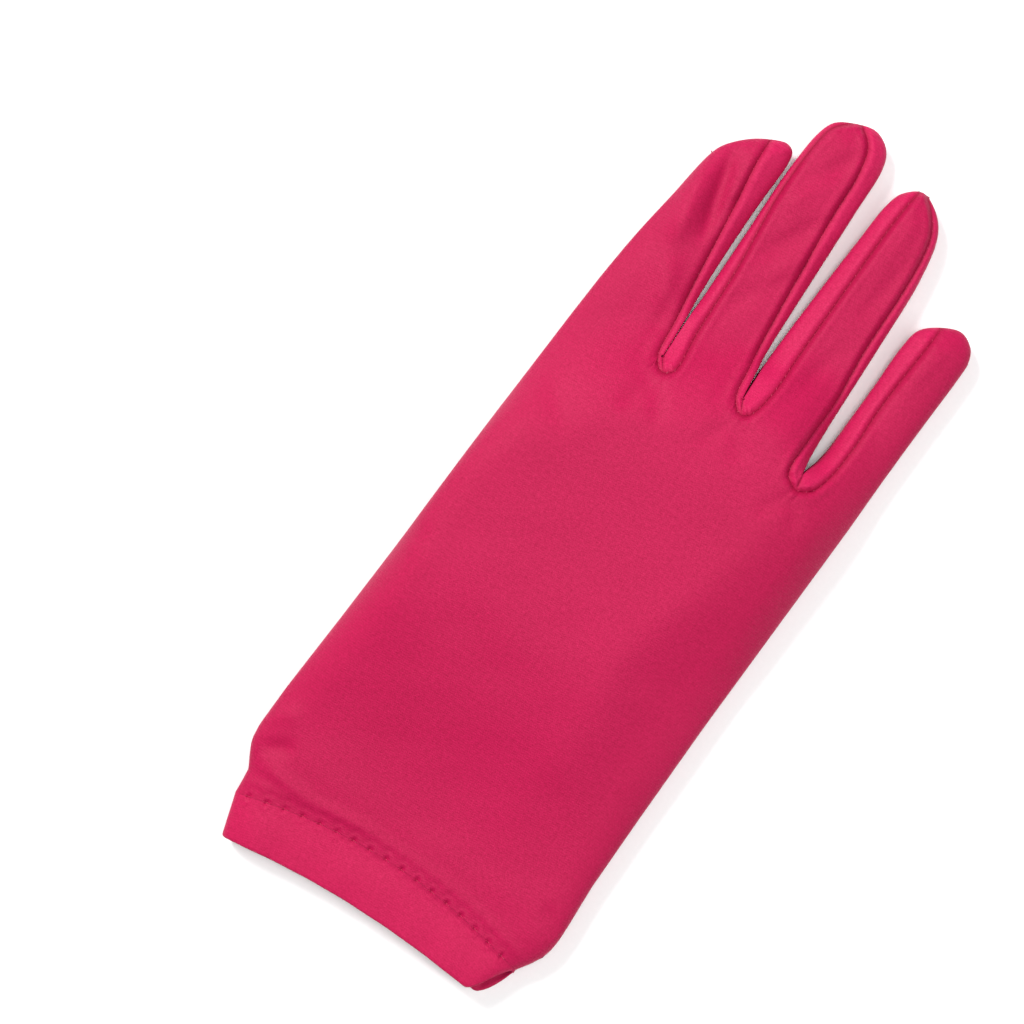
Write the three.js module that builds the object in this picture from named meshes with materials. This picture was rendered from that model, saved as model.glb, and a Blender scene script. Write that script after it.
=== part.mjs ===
// A wrist-length dress glove of satin knit for the right hand, empty and lying back up.
// Lengths are in millimetres: X runs to the little finger, Y to the fingertips and Z up.
import * as THREE from 'three';

// Cloth and seams
const CLOTH = 1.0;
const HEM_CLOTH = 1.6;
const SEAM_GAP = 0.3;
const FINGER_GAP = 0.4;
const TIP_SPARE = 0.8;

// Hand and cuff
const HAND_LENGTH = 151.5;
const CUFF_WIDTH = 82;
const CUFF_ASIDE = 1;
const CUFF_DROP = 0.8;
const CUFF_SWELL = 4.7;
const HEM_DEPTH = 13.4;
const HEM_BOW = 3.3;
const HEM_TAPER = 4;
const STITCH_BOW = 6.2;
const LIP_REACH = 10;
const LIP_UNDER = 7;
const LIP_DEPTH = 9;
const LIP_CURL = 2.6;

// Heights of the empty glove, and how its edges are rounded
const HAND_HEIGHT = 8.8;
const THUMB_HEIGHT = 7.2;
const EDGE_ROUND = 9.5;
const EDGE_POWER = 2.2;
const FLOOR_PRESS = 0.6;
const WEB_DEPTH = 3.3;
const WEB_ROUND = 2;

// Thumb, which is folded under the palm
const THUMB_MOUTH = 50;
const THUMB_MOUTH_LEFT = 8;
const THUMB_MOUTH_LEVEL = 84;
const THUMB_REACH = 65.5;
const PALM_DRAPE = 16;
const BACK_DRAPE = 28;
const BACK_RISE = 58;
const MOUTH_RAMP = 6;
const PALM_CLEARANCE = 0.5;

// How finely each piece is laid out. The hand's rows are shares of the way from the hem to the thumb's mouth,
// and of the way from there to the knuckles. A crowding power packs rows or columns closer at a tip or
// an edge.
const LOWER_ROWS = [0, 0.045, 0.1, 0.16, 0.26, 0.38, 0.5, 0.62, 0.74, 0.87, 1];
const UPPER_ROWS = [0, 0.04, 0.11, 0.24, 0.4, 0.58, 0.76, 0.9];
const LEFT_COLUMNS = 4;
const RIGHT_COLUMNS = 11;
const FINGER_ROWS = 10;
const STRIP_COLUMNS = 3;
const THUMB_ROWS = 11;
const THUMB_COLUMNS = 9;
const HEM_ROWS = 2;
const HEM_COLUMNS = 22;
const TIP_CROWDING = 1.5;
const EDGE_CROWDING = 1.7;
const STRIP_CROWDING = 1.6;
const THUMB_CROWDING = 1.35;
const CURVE_STEPS = 90;

// The four fingers. Width is across the root and length is from the crotches to the tip. The outline and
// seam tables hold shares: along is a share of the length, and the rest are shares of half the width. They
// are measured from the middle of the root towards the side that the column names, and across is measured
// towards the little finger.
const FINGERS = [
  {
    name: 'index',
    width: 24.55,
    length: 64.7,
    columns: 7,
    tip: 0.829,
    turn: { left: { along: 0.82, across: -0.37 } },
    outline: [
      { along: 0.2, left: 0.898, right: 0.993 },
      { along: 0.4, left: 0.76, right: 0.976 },
      { along: 0.6, left: 0.572, right: 0.984 },
      { along: 0.8, left: 0.385, right: 1.024 },
      { along: 0.86, left: 0.255, right: 1.05 },
      { along: 0.94, left: -0.153, right: 1.057 },
      { along: 0.985, left: -0.568, right: 1.0 },
    ],
    seams: {
      right: [
        { along: 0.05, back: 0.91, palm: 0.86 },
        { along: 0.19, back: 0.845, palm: 0.8 },
        { along: 0.37, back: 0.747, palm: 0.74 },
        { along: 0.66, back: 0.617, palm: 0.66 },
        { along: 0.88, back: 0.503, palm: 0.56 },
        { along: 0.975, back: 0.503, palm: 0.503 },
      ],
    },
  },
  {
    name: 'middle',
    width: 21.5,
    length: 78.45,
    columns: 6,
    tip: 0.31,
    outline: [
      { along: 0.22, left: 0.988, right: 0.952 },
      { along: 0.5, left: 0.93, right: 0.944 },
      { along: 0.75, left: 0.888, right: 0.944 },
      { along: 0.9, left: 0.758, right: 0.94 },
      { along: 0.95, left: 0.59, right: 0.842 },
      { along: 0.98, left: 0.24, right: 0.66 },
    ],
    seams: {
      left: [
        { along: 0.02, back: -0.609, palm: -0.62 },
        { along: 0.15, back: -0.647, palm: -0.66 },
        { along: 0.4, back: -0.665, palm: -0.64 },
        { along: 0.66, back: -0.777, palm: -0.6 },
        { along: 0.86, back: -0.69, palm: -0.52 },
        { along: 0.93, back: -0.563, palm: -0.4 },
        { along: 0.975, back: -0.2, palm: -0.2 },
      ],
      right: [
        { along: 0.05, back: 0.86, palm: 0.7 },
        { along: 0.15, back: 0.78, palm: 0.6 },
        { along: 0.27, back: 0.71, palm: 0.5 },
        { along: 0.5, back: 0.61, palm: 0.45 },
        { along: 0.7, back: 0.535, palm: 0.42 },
        { along: 0.85, back: 0.52, palm: 0.38 },
        { along: 0.94, back: 0.36, palm: 0.3 },
        { along: 0.985, back: -0.02, palm: -0.02 },
      ],
    },
  },
  {
    name: 'ring',
    width: 21.8,
    length: 75.35,
    columns: 6,
    tip: -0.037,
    outline: [
      { along: 0.25, left: 0.986, right: 1.0 },
      { along: 0.5, left: 0.862, right: 1.0 },
      { along: 0.75, left: 0.706, right: 0.968 },
      { along: 0.9, left: 0.596, right: 0.78 },
      { along: 0.96, left: 0.44, right: 0.495 },
    ],
    seams: {
      left: [
        { along: 0.08, back: -0.65, palm: -0.7 },
        { along: 0.17, back: -0.505, palm: -0.62 },
        { along: 0.31, back: -0.45, palm: -0.58 },
        { along: 0.515, back: -0.385, palm: -0.5 },
        { along: 0.83, back: -0.275, palm: -0.34 },
        { along: 0.94, back: -0.2, palm: -0.24 },
        { along: 0.995, back: -0.12, palm: -0.12 },
      ],
      right: [
        { along: -0.02, back: 0.72, palm: 0.7 },
        { along: 0.11, back: 0.734, palm: 0.66 },
        { along: 0.255, back: 0.817, palm: 0.62 },
        { along: 0.46, back: 0.75, palm: 0.58 },
        { along: 0.67, back: 0.77, palm: 0.54 },
        { along: 0.8, back: 0.734, palm: 0.5 },
        { along: 0.89, back: 0.624, palm: 0.4 },
        { along: 0.95, back: 0.376, palm: 0.28 },
        { along: 0.995, back: 0.05, palm: 0.05 },
      ],
    },
  },
  {
    name: 'little',
    width: 17.5,
    length: 55.5,
    columns: 7,
    tip: 0.69,
    turn: { right: { along: 0.9, across: 1.314 } },
    outline: [
      { along: 0.2, left: 0.766, right: 1.057 },
      { along: 0.4, left: 0.651, right: 1.131 },
      { along: 0.6, left: 0.577, right: 1.217 },
      { along: 0.8, left: 0.52, right: 1.309 },
      { along: 0.9, left: 0.383, right: 1.314 },
      { along: 0.96, left: -0.03, right: 1.149 },
    ],
    seams: {
      left: [
        { along: 0.03, back: -0.55, palm: -0.56 },
        { along: 0.13, back: -0.31, palm: -0.36 },
        { along: 0.3, back: -0.166, palm: -0.24 },
        { along: 0.48, back: -0.14, palm: -0.16 },
        { along: 0.7, back: -0.04, palm: -0.06 },
        { along: 0.87, back: 0.08, palm: 0.06 },
        { along: 0.965, back: 0.13, palm: 0.13 },
      ],
    },
  },
];

// The crotches between the fingers. The levels are shares of the hand's length, and the webs of the web
// depth. Aside is how far the bottom of the seam's U lies towards the little finger, in shares of that depth.
const CROTCHES = [
  { level: 1, palmLevel: 1.008, web: 1, aside: 0.55 },
  { level: 1.0086, palmLevel: 1.016, web: 1.05, aside: 0.48 },
  { level: 0.9538, palmLevel: 0.962, web: 1.3, aside: 0.18 },
];

// How far the hand's edges swell past straight lines from the cuff to the knuckles, in shares of the swell
const SWELL = [
  { along: 0, left: 0, right: 0 },
  { along: 0.02, left: 0.05, right: 0.38 },
  { along: 0.045, left: 0.14, right: 0.75 },
  { along: 0.068, left: 0.55, right: 0.88 },
  { along: 0.09, left: 0.88, right: 0.89 },
  { along: 0.12, left: 1, right: 0.82 },
  { along: 0.2, left: 0.96, right: 0.58 },
  { along: 0.35, left: 0.73, right: 0.4 },
  { along: 0.55, left: 0.47, right: 0.21 },
  { along: 0.8, left: 0.25, right: 0.09 },
  { along: 1, left: 0, right: 0 },
];

// How full the empty glove is, in shares of the hand's height, from the cuff edge to the longest fingertip
const FULLNESS = [
  { along: 0, height: 0.93 },
  { along: 0.055, height: 0.93 },
  { along: 0.1, height: 1 },
  { along: 0.65, height: 1 },
  { along: 0.85, height: 0.96 },
  { along: 1, height: 0.92 },
];

// The thumb's outline. Along is a share of its reach, and left and right are shares of its mouth's width.
const THUMB = [
  { along: 0, left: 0, right: 1 },
  { along: 0.06, left: -0.005, right: 1.01 },
  { along: 0.16, left: -0.03, right: 1.05 },
  { along: 0.33, left: -0.02, right: 1.12 },
  { along: 0.45, left: 0.06, right: 1.18 },
  { along: 0.57, left: 0.2, right: 1.22 },
  { along: 0.61, left: 0.28, right: 1.235 },
  { along: 0.72, left: 0.36, right: 1.255 },
  { along: 0.8, left: 0.5, right: 1.265 },
  { along: 0.87, left: 0.68, right: 1.24 },
  { along: 0.955, left: 0.86, right: 1.18 },
  { along: 1, left: 1.04, right: 1.1 },
];

// Soft folds on the back of the glove. The ends are shares of the hand's half width and of its length, the
// width is a share of the edge round and the height of the cloth; a negative height is a furrow.
const FOLDS = [
  { fromX: -0.56, fromY: 1.4, toX: -0.5, toY: 1.08, width: 0.3, height: 0.55 },
  { fromX: -0.45, fromY: 1.38, toX: -0.4, toY: 1.12, width: 0.22, height: -0.5 },
  { fromX: 0.09, fromY: 1.49, toX: -0.12, toY: 1.34, width: 0.22, height: -0.4 },
  { fromX: 0.1, fromY: 1.3, toX: -0.02, toY: 1.12, width: 0.26, height: -0.4 },
  { fromX: -0.82, fromY: 0.17, toX: -0.93, toY: 0.14, width: 0.2, height: -0.8 },
  { fromX: -0.35, fromY: 0.96, toX: -0.15, toY: 0.92, width: 0.35, height: -0.35 },
  { fromX: 0.22, fromY: 0.97, toX: 0.34, toY: 0.94, width: 0.35, height: -0.35 },
];

// Colours and finish of the satin
const SATIN = { color: 0xd02860, roughness: 0.62, metalness: 0 };
const SATIN_SIDE = { color: 0xd42c64, roughness: 0.6, metalness: 0 };
const SATIN_HEM = { color: 0xd42a62, roughness: 0.6, metalness: 0 };

// Small helpers
const lerp = (a, b, t) => a + (b - a) * t;
const clamp = (value, low, high) => Math.min(high, Math.max(low, value));
const smooth = (t) => {
  const s = clamp(t, 0, 1);
  return s * s * (3 - 2 * s);
};
const mix = (a, b, t) => new THREE.Vector2(lerp(a.x, b.x, t), lerp(a.y, b.y, t));

function lookUp(table, column, along) {
  const next = table.findIndex((row) => row.along >= along);
  if (next === 0) return table[0][column];
  if (next < 0) return table[table.length - 1][column];
  const low = table[next - 1];
  const high = table[next];
  return lerp(low[column], high[column], (along - low.along) / (high.along - low.along));
}

// A smooth plan curve through its points, which can be sampled by shares of its length
function planCurve(points) {
  const curve = new THREE.CatmullRomCurve3(
    points.map((p) => new THREE.Vector3(p.x, p.y, 0)),
    false,
    'centripetal',
  );
  curve.arcLengthDivisions = 400;
  return curve;
}
const pointAt = (curve, share) => {
  const p = curve.getPointAt(clamp(share, 0, 1));
  return new THREE.Vector2(p.x, p.y);
};
const sampled = (curve) => curve.getSpacedPoints(CURVE_STEPS).map((p) => new THREE.Vector2(p.x, p.y));

// The share of the curve's length that lies nearest to a plan point
function nearestShare(curve, target, steps = 600) {
  const places = curve.getSpacedPoints(steps);
  let best = 0;
  places.forEach((p, i) => {
    const here = Math.hypot(p.x - target.x, p.y - target.y);
    const there = Math.hypot(places[best].x - target.x, places[best].y - target.y);
    if (here < there) best = i;
  });
  return best / steps;
}

// The rise of a rounded edge: 0 at the rim and 1 where the round ends
const edgeRise = (depth) => {
  const left = 1 - clamp(depth / EDGE_ROUND, 0, 1);
  return (1 - left ** EDGE_POWER) ** (1 / EDGE_POWER);
};
const edgeSlope = (depth) => {
  const near = clamp(depth / EDGE_ROUND, 0.0005, 1);
  const left = 1 - near;
  return (left ** (EDGE_POWER - 1) * (1 - left ** EDGE_POWER) ** (1 / EDGE_POWER - 1)) / EDGE_ROUND;
};

// How deep a place lies inside an outline that is walked with the cloth on its right-hand side
function insideOf(points) {
  const inward = points.map((p, i) => {
    const a = points[Math.max(0, i - 1)];
    const b = points[Math.min(points.length - 1, i + 1)];
    return new THREE.Vector2(b.y - a.y, a.x - b.x).normalize();
  });
  return (place) => {
    let best = { depth: Infinity };
    for (let i = 0; i + 1 < points.length; i += 1) {
      const a = points[i];
      const b = points[i + 1];
      const run = new THREE.Vector2(b.x - a.x, b.y - a.y);
      const share = clamp(
        ((place.x - a.x) * run.x + (place.y - a.y) * run.y) / Math.max(run.lengthSq(), 1e-12), 0, 1,
      );
      const near = new THREE.Vector2(a.x + run.x * share, a.y + run.y * share);
      const depth = Math.hypot(place.x - near.x, place.y - near.y);
      if (depth < best.depth) best = { depth, near, i, share };
    }
    const across = inward[best.i].clone().lerp(inward[best.i + 1], best.share).normalize();
    const away = new THREE.Vector2(place.x - best.near.x, place.y - best.near.y);
    const within = away.dot(across) >= 0;
    const direction = best.depth > 0.05 ? away.multiplyScalar((within ? 1 : -1) / best.depth) : across;
    return { depth: best.depth, within, direction };
  };
}

// Places of the fingers' roots, laid side by side from the index finger, with the middle finger at X = 0
function layRoots() {
  let cursor = -(FINGERS[0].width + FINGER_GAP + FINGERS[1].width / 2);
  return FINGERS.map((finger, i) => {
    const left = cursor;
    cursor += finger.width;
    const right = cursor;
    cursor += FINGER_GAP;
    const besides = CROTCHES.slice(Math.max(0, i - 1), i + 1);
    const level = besides.reduce((sum, crotch) => sum + crotch.level, 0) / besides.length;
    return { left, right, middle: (left + right) / 2, level: level * HAND_LENGTH };
  });
}
const ROOTS = layRoots();
const KNUCKLE_LEFT = ROOTS[0].left;
const KNUCKLE_RIGHT = ROOTS[3].right;
const HALF_WIDTH = (KNUCKLE_RIGHT - KNUCKLE_LEFT) / 2;
const CUFF_LEFT = -CUFF_WIDTH / 2 - CUFF_ASIDE;
const CUFF_RIGHT = CUFF_LEFT + CUFF_WIDTH;
const STITCH_LEVEL = HEM_DEPTH + CUFF_DROP - STITCH_BOW;
const OVERALL = HAND_LENGTH + FINGERS[1].length;

// The crotches' own places: the bottom of the seam's U, and the end of the gap between two fingers
const crotchPlaces = CROTCHES.map((crotch, i) => ({
  x: ROOTS[i].right + FINGER_GAP / 2 + crotch.aside * WEB_DEPTH,
  back: crotch.level * HAND_LENGTH,
  palm: crotch.palmLevel * HAND_LENGTH,
  end: crotch.level * HAND_LENGTH + crotch.web * WEB_DEPTH,
}));

// The hand's left and right edges at a level
function handEdge(side, y) {
  const root = side === 'left' ? ROOTS[0] : ROOTS[3];
  const from = side === 'left' ? CUFF_LEFT : CUFF_RIGHT;
  const to = side === 'left' ? KNUCKLE_LEFT : KNUCKLE_RIGHT;
  const along = clamp((y - STITCH_LEVEL) / (root.level - STITCH_LEVEL), 0, 1);
  const swell = lookUp(SWELL, side, along) * CUFF_SWELL;
  return lerp(from, to, along) + (side === 'left' ? -swell : swell);
}

// The outline of each finger in plan, walked from its left root over the tip to its right root
const fingerPlace = (f, along, across) => new THREE.Vector2(
  ROOTS[f].middle + (across * FINGERS[f].width) / 2,
  ROOTS[f].level + along * FINGERS[f].length,
);
const outlineCurves = FINGERS.map((finger, f) => {
  const leftEnd = f === 0 ? ROOTS[0].level : crotchPlaces[f - 1].end;
  const rightEnd = f === 3 ? ROOTS[3].level : crotchPlaces[f].end;
  return planCurve([
    new THREE.Vector2(ROOTS[f].left, leftEnd),
    ...finger.outline.map((row) => fingerPlace(f, row.along, -row.left)),
    fingerPlace(f, 1, finger.tip),
    ...finger.outline.toReversed().map((row) => fingerPlace(f, row.along, row.right)),
    new THREE.Vector2(ROOTS[f].right, rightEnd),
  ]);
});

// The whole outline of the glove, from the cuff up the left edge, round the fingers and down the right edge
const edgeSide = (side, top) => Array.from({ length: CURVE_STEPS + 1 }, (_, i) => {
  const y = lerp(STITCH_LEVEL - HEM_DEPTH, top, i / CURVE_STEPS);
  return new THREE.Vector2(handEdge(side, y), y);
});
const gloveOutline = [
  ...edgeSide('left', ROOTS[0].level),
  ...outlineCurves.flatMap((curve) => sampled(curve)),
  ...edgeSide('right', ROOTS[3].level).toReversed(),
];
const gloveInside = insideOf(gloveOutline);

// The thumb's outline in plan, open at its mouth
const mouthLeft = handEdge('left', THUMB_MOUTH_LEVEL) + THUMB_MOUTH_LEFT;
const thumbPlace = (along, across) => new THREE.Vector2(
  mouthLeft + across * THUMB_MOUTH,
  THUMB_MOUTH_LEVEL + SEAM_GAP / 2 + along * THUMB_REACH,
);
const thumbSides = {
  left: planCurve(THUMB.map((row) => thumbPlace(row.along, row.left))),
  right: planCurve(THUMB.map((row) => thumbPlace(row.along, row.right))),
};
const thumbOutline = [...sampled(thumbSides.left), ...sampled(thumbSides.right).toReversed()];
const thumbInside = insideOf(thumbOutline);

// How far a place lies outside the thumb, 0 over it
function besideThumb(place) {
  const mouthGap = Math.max(mouthLeft - place.x, place.x - mouthLeft - THUMB_MOUTH, 0);
  if (place.y < THUMB_MOUTH_LEVEL) return Math.hypot(mouthGap, THUMB_MOUTH_LEVEL - place.y);
  const found = thumbInside(place);
  return found.within ? 0 : found.depth;
}

// The palm cloth's lift over the thumb. North of the thumb's mouth the cloth lies on the thumb, and south of
// it the cloth dips to the floor, so that the two edges of the opening part like lips.
const LIFT = THUMB_HEIGHT + PALM_CLEARANCE;
function palmLift(place, north) {
  const held = { x: place.x, y: north ? Math.max(place.y, THUMB_MOUTH_LEVEL) : place.y };
  const apart = Math.abs(held.y - THUMB_MOUTH_LEVEL) / MOUTH_RAMP;
  const inMouth = Math.min(held.x - mouthLeft, mouthLeft + THUMB_MOUTH - held.x);
  if (!north) return (LIFT / 2) * (1 - edgeRise(Math.max(inMouth, 0))) * (1 - smooth(apart));
  const found = thumbInside(held);
  const over = found.within ? edgeRise(found.depth) : 0;
  const rise = 1 - (0.5 - 0.5 * over) * (1 - smooth(apart));
  return LIFT * rise;
}
function liftAt(place, north) {
  return palmLift(place, north) * smooth(1 - besideThumb(place) / PALM_DRAPE);
}
function backLiftAt(place) {
  const rise = smooth((place.y - THUMB_MOUTH_LEVEL + BACK_RISE) / BACK_RISE);
  const north = { x: place.x, y: Math.max(place.y, THUMB_MOUTH_LEVEL + SEAM_GAP) };
  return LIFT * rise * smooth(1 - besideThumb(north) / BACK_DRAPE);
}

// The height that the soft folds add
function foldAt(place) {
  return FOLDS.reduce((sum, fold) => {
    const a = new THREE.Vector2(fold.fromX * HALF_WIDTH, fold.fromY * HAND_LENGTH);
    const b = new THREE.Vector2(fold.toX * HALF_WIDTH, fold.toY * HAND_LENGTH);
    const run = b.clone().sub(a);
    const share = clamp(((place.x - a.x) * run.x + (place.y - a.y) * run.y) / run.lengthSq(), 0, 1);
    const gap = Math.hypot(place.x - a.x - run.x * share, place.y - a.y - run.y * share);
    return sum + fold.height * CLOTH * Math.exp(-((gap / (fold.width * EDGE_ROUND)) ** 2));
  }, 0);
}

// The outer skin of the glove over a plan place: its height and its outward direction. The face is the back,
// the palm or, on the rim between them, neither.
function skin(place, face, { north = place.y >= THUMB_MOUTH_LEVEL, rim = false, offset = 0 } = {}) {
  const found = gloveInside(place);
  const depth = rim ? 0 : found.depth;
  const parts = (at) => {
    const half = (HAND_HEIGHT * lookUp(FULLNESS, 'height', clamp(at.y / OVERALL, 0, 1))) / 2;
    const lift = liftAt(at, north);
    if (face === 'palm') return { base: lift + half, gain: -(half + FLOOR_PRESS), floor: lift };
    return { base: lift + half, gain: half + backLiftAt(at) - lift + foldAt(at), floor: 0 };
  };
  const rise = edgeRise(depth);
  const height = (at) => {
    const { base, gain, floor } = parts(at);
    return Math.max(floor, base + gain * rise);
  };
  const step = 0.4;
  const here = parts(place);
  const z = height(place);
  const beside = (across, along) => height({ x: place.x + across, y: place.y + along });
  const slopeX = (beside(step, 0) - beside(-step, 0)) / (2 * step);
  const slopeY = (beside(0, step) - beside(0, -step)) / (2 * step);
  const pressed = z > here.base + here.gain * rise + 1e-9;
  const edge = pressed ? 0 : here.gain * edgeSlope(depth);
  const normal = new THREE.Vector3(
    -slopeX - edge * found.direction.x,
    -slopeY - edge * found.direction.y,
    1,
  );
  if (face === 'palm') normal.negate();
  if (rim) normal.set(-found.direction.x, -found.direction.y, 0);
  return { point: new THREE.Vector3(place.x, place.y, z + offset), normal: normal.normalize() };
}

// A piece of cloth as one closed solid, from a grid of skin points and the cloth's thickness. It can run
// round on itself, end in a closed tip, and leave cells out where it has an opening or no cloth.
function clothPiece(grid, wall, { round = false, tip = null, has = () => true } = {}) {
  const rows = grid.length;
  const columns = grid[0].length;
  const vertices = [];
  const add = (v) => vertices.push(v.x, v.y, v.z) / 3 - 1;
  const inner = ({ point, normal }) => point.clone().addScaledVector(normal, -wall);
  const outerAt = grid.map((row) => row.map((spot) => (spot ? add(spot.point) : -1)));
  const innerAt = grid.map((row) => row.map((spot) => (spot ? add(inner(spot)) : -1)));
  const pair = new Map();
  grid.forEach((row, j) => row.forEach((spot, k) => pair.set(outerAt[j][k], innerAt[j][k])));
  const faces = [];
  for (let j = 0; j + 1 < rows; j += 1) {
    for (let k = 0; k < (round ? columns : columns - 1); k += 1) {
      const next = (k + 1) % columns;
      if (has(j, k)) {
        faces.push([outerAt[j][k], outerAt[j][next], outerAt[j + 1][next]]);
        faces.push([outerAt[j][k], outerAt[j + 1][next], outerAt[j + 1][k]]);
      }
    }
  }
  if (tip) {
    const outerTip = add(tip.point);
    pair.set(outerTip, add(inner(tip)));
    for (let k = 0; k < columns; k += 1) {
      faces.push([outerAt[rows - 1][k], outerAt[rows - 1][(k + 1) % columns], outerTip]);
    }
  }
  const corner = (i) => new THREE.Vector3(vertices[3 * i], vertices[3 * i + 1], vertices[3 * i + 2]);
  const facing = faces.reduce((sum, [a, b, c]) => {
    const across = corner(b).sub(corner(a)).cross(corner(c).sub(corner(a)));
    return sum + across.dot(corner(a).sub(corner(pair.get(a))));
  }, 0);
  if (facing < 0) faces.forEach((face) => face.reverse());
  const edges = new Set(faces.flatMap(([a, b, c]) => [`${a} ${b}`, `${b} ${c}`, `${c} ${a}`]));
  const index = [];
  faces.forEach(([a, b, c]) => {
    index.push(a, b, c, pair.get(a), pair.get(c), pair.get(b));
    [[a, b], [b, c], [c, a]].forEach(([from, to]) => {
      if (edges.has(`${to} ${from}`)) return;
      index.push(to, from, pair.get(from), to, pair.get(from), pair.get(to));
    });
  });
  const used = [...new Set(index)];
  const renumber = new Map(used.map((old, i) => [old, i]));
  const geometry = new THREE.BufferGeometry();
  const kept = used.flatMap((i) => vertices.slice(3 * i, 3 * i + 3));
  geometry.setAttribute('position', new THREE.Float32BufferAttribute(kept, 3));
  geometry.setIndex(index.map((i) => renumber.get(i)));
  geometry.computeVertexNormals();
  return geometry;
}

// The rows of a finger lie closer together towards its tip
const fingerShare = (row) => 1 - (1 - row / FINGER_ROWS) ** TIP_CROWDING;

// Where the round tip begins and ends on a finger's outline, as shares of the outline's length
function tipSpan(f) {
  const finger = FINGERS[f];
  const ends = ['left', 'right'].map((side) => {
    if (finger.turn?.[side]) return fingerPlace(f, finger.turn[side].along, finger.turn[side].across);
    const last = finger.seams[side].at(-1);
    return fingerPlace(f, last.along, last.back);
  });
  return ends.map((end) => nearestShare(outlineCurves[f], end));
}

// The seam on one side of a finger, from the corner of the U in the crotch to the outline at the tip
function seamCurve(f, side, face) {
  const crotch = crotchPlaces[side === 'left' ? f - 1 : f];
  const rows = FINGERS[f].seams[side].slice(0, -1);
  const corner = fingerPlace(f, rows[0].along, rows[0][face]);
  corner.y = Math.max(corner.y, crotch[face] + WEB_ROUND);
  return planCurve([
    corner,
    ...rows.slice(1).map((row) => fingerPlace(f, row.along, row[face])),
    pointAt(outlineCurves[f], tipSpan(f)[side === 'left' ? 0 : 1]),
  ]);
}

// A border of cloth along a seam: the seam's points from the bottom of the U to the tip, moved to the
// cloth's own side by half the seam's gap. The side strips lie outwards of the seam, and the panels inwards.
function seamBorder(f, side, face, outwards) {
  const crotch = crotchPlaces[side === 'left' ? f - 1 : f];
  const curve = seamCurve(f, side, face);
  const rows = Array.from({ length: FINGER_ROWS + 1 }, (_, j) => pointAt(curve, fingerShare(j)));
  const points = [new THREE.Vector2(crotch.x, crotch[face]), ...rows];
  const turn = (side === 'left') === outwards ? -1 : 1;
  const spare = (i) => 1 + TIP_SPARE * (i / points.length) ** 4;
  const border = points.map((p, i) => {
    const a = points[Math.max(0, i - 1)];
    const b = points[Math.min(points.length - 1, i + 1)];
    const across = new THREE.Vector2(b.y - a.y, a.x - b.x).normalize();
    return p.clone().addScaledVector(across, ((turn * SEAM_GAP) / 2) * spare(i));
  });
  const along = points[1].clone().sub(points[0]).setLength(SEAM_GAP);
  border[0].add(along);
  border[border.length - 1] = tipEnd(f, side, outwards ? 1 : -1);
  return border;
}

// The outline's point at the end of a seam, moved along the outline by half gaps towards the finger's root
function tipEnd(f, side, gaps) {
  const curve = outlineCurves[f];
  const share = tipSpan(f)[side === 'left' ? 0 : 1];
  const shift = (gaps * SEAM_GAP) / 2 / curve.getLength();
  return pointAt(curve, side === 'left' ? share - shift : share + shift);
}

// The rim on one side of a finger, sampled by the same rows
function rimPoints(f, side, gaps = 0) {
  const span = tipSpan(f);
  const curve = outlineCurves[f];
  const shift = (gaps * SEAM_GAP) / 2 / curve.getLength();
  return Array.from({ length: FINGER_ROWS + 1 }, (_, j) => {
    const share = fingerShare(j);
    if (side === 'left') return pointAt(curve, (span[0] - shift) * share);
    return pointAt(curve, lerp(1, span[1] + shift, share));
  });
}

// One finger's face of a panel: rows from the root to the tip, columns from its left to its right border
function fingerGrid(f, face) {
  const finger = FINGERS[f];
  const border = (side) => {
    if (!finger.seams[side]) return rimPoints(f, side).map((place) => ({ place, rim: true }));
    return seamBorder(f, side, face, false).slice(1).map((place) => ({ place, rim: false }));
  };
  const left = border('left');
  const right = border('right');
  const span = tipSpan(f);
  const gap = SEAM_GAP / 2 / outlineCurves[f].getLength();
  const start = finger.seams.left ? span[0] + gap : span[0];
  const end = finger.seams.right ? span[1] - gap : span[1];
  const spread = columnShares(f);
  const top = spread.map((share) => pointAt(outlineCurves[f], lerp(start, end, share)));
  return left.map((from, j) => spread.map((share, k) => {
    const to = right[j];
    const place = mix(from.place, to.place, share);
    const atRim = (k === 0 && from.rim) || (k === spread.length - 1 && to.rim);
    if (atRim) return { place, rim: true };
    const pull = smooth(j / FINGER_ROWS) ** 4;
    const straight = mix(left.at(-1).place, right.at(-1).place, share);
    const shift = top[k].clone().sub(straight).multiplyScalar(pull);
    return { place: place.add(shift), rim: j === FINGER_ROWS };
  }));
}

// The columns of a finger crowd towards a rim, where the cloth turns over
function columnShares(f) {
  const { columns, seams } = FINGERS[f];
  return Array.from({ length: columns + 1 }, (_, k) => {
    const share = k / columns;
    if (!seams.left) return share ** EDGE_CROWDING;
    if (!seams.right) return 1 - (1 - share) ** EDGE_CROWDING;
    return share;
  });
}

// The curve of the hem's stitch row and of the cuff's edge, highest in the middle of the cuff
const acrossCuff = (x) => (x - (CUFF_LEFT + CUFF_RIGHT) / 2) / (CUFF_WIDTH / 2);
const stitchLevel = (x) => STITCH_LEVEL + STITCH_BOW * (1 - acrossCuff(x) ** 2);
const cuffLevel = (x) => STITCH_LEVEL + STITCH_BOW - HEM_DEPTH - HEM_BOW * acrossCuff(x) ** 2;

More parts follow.
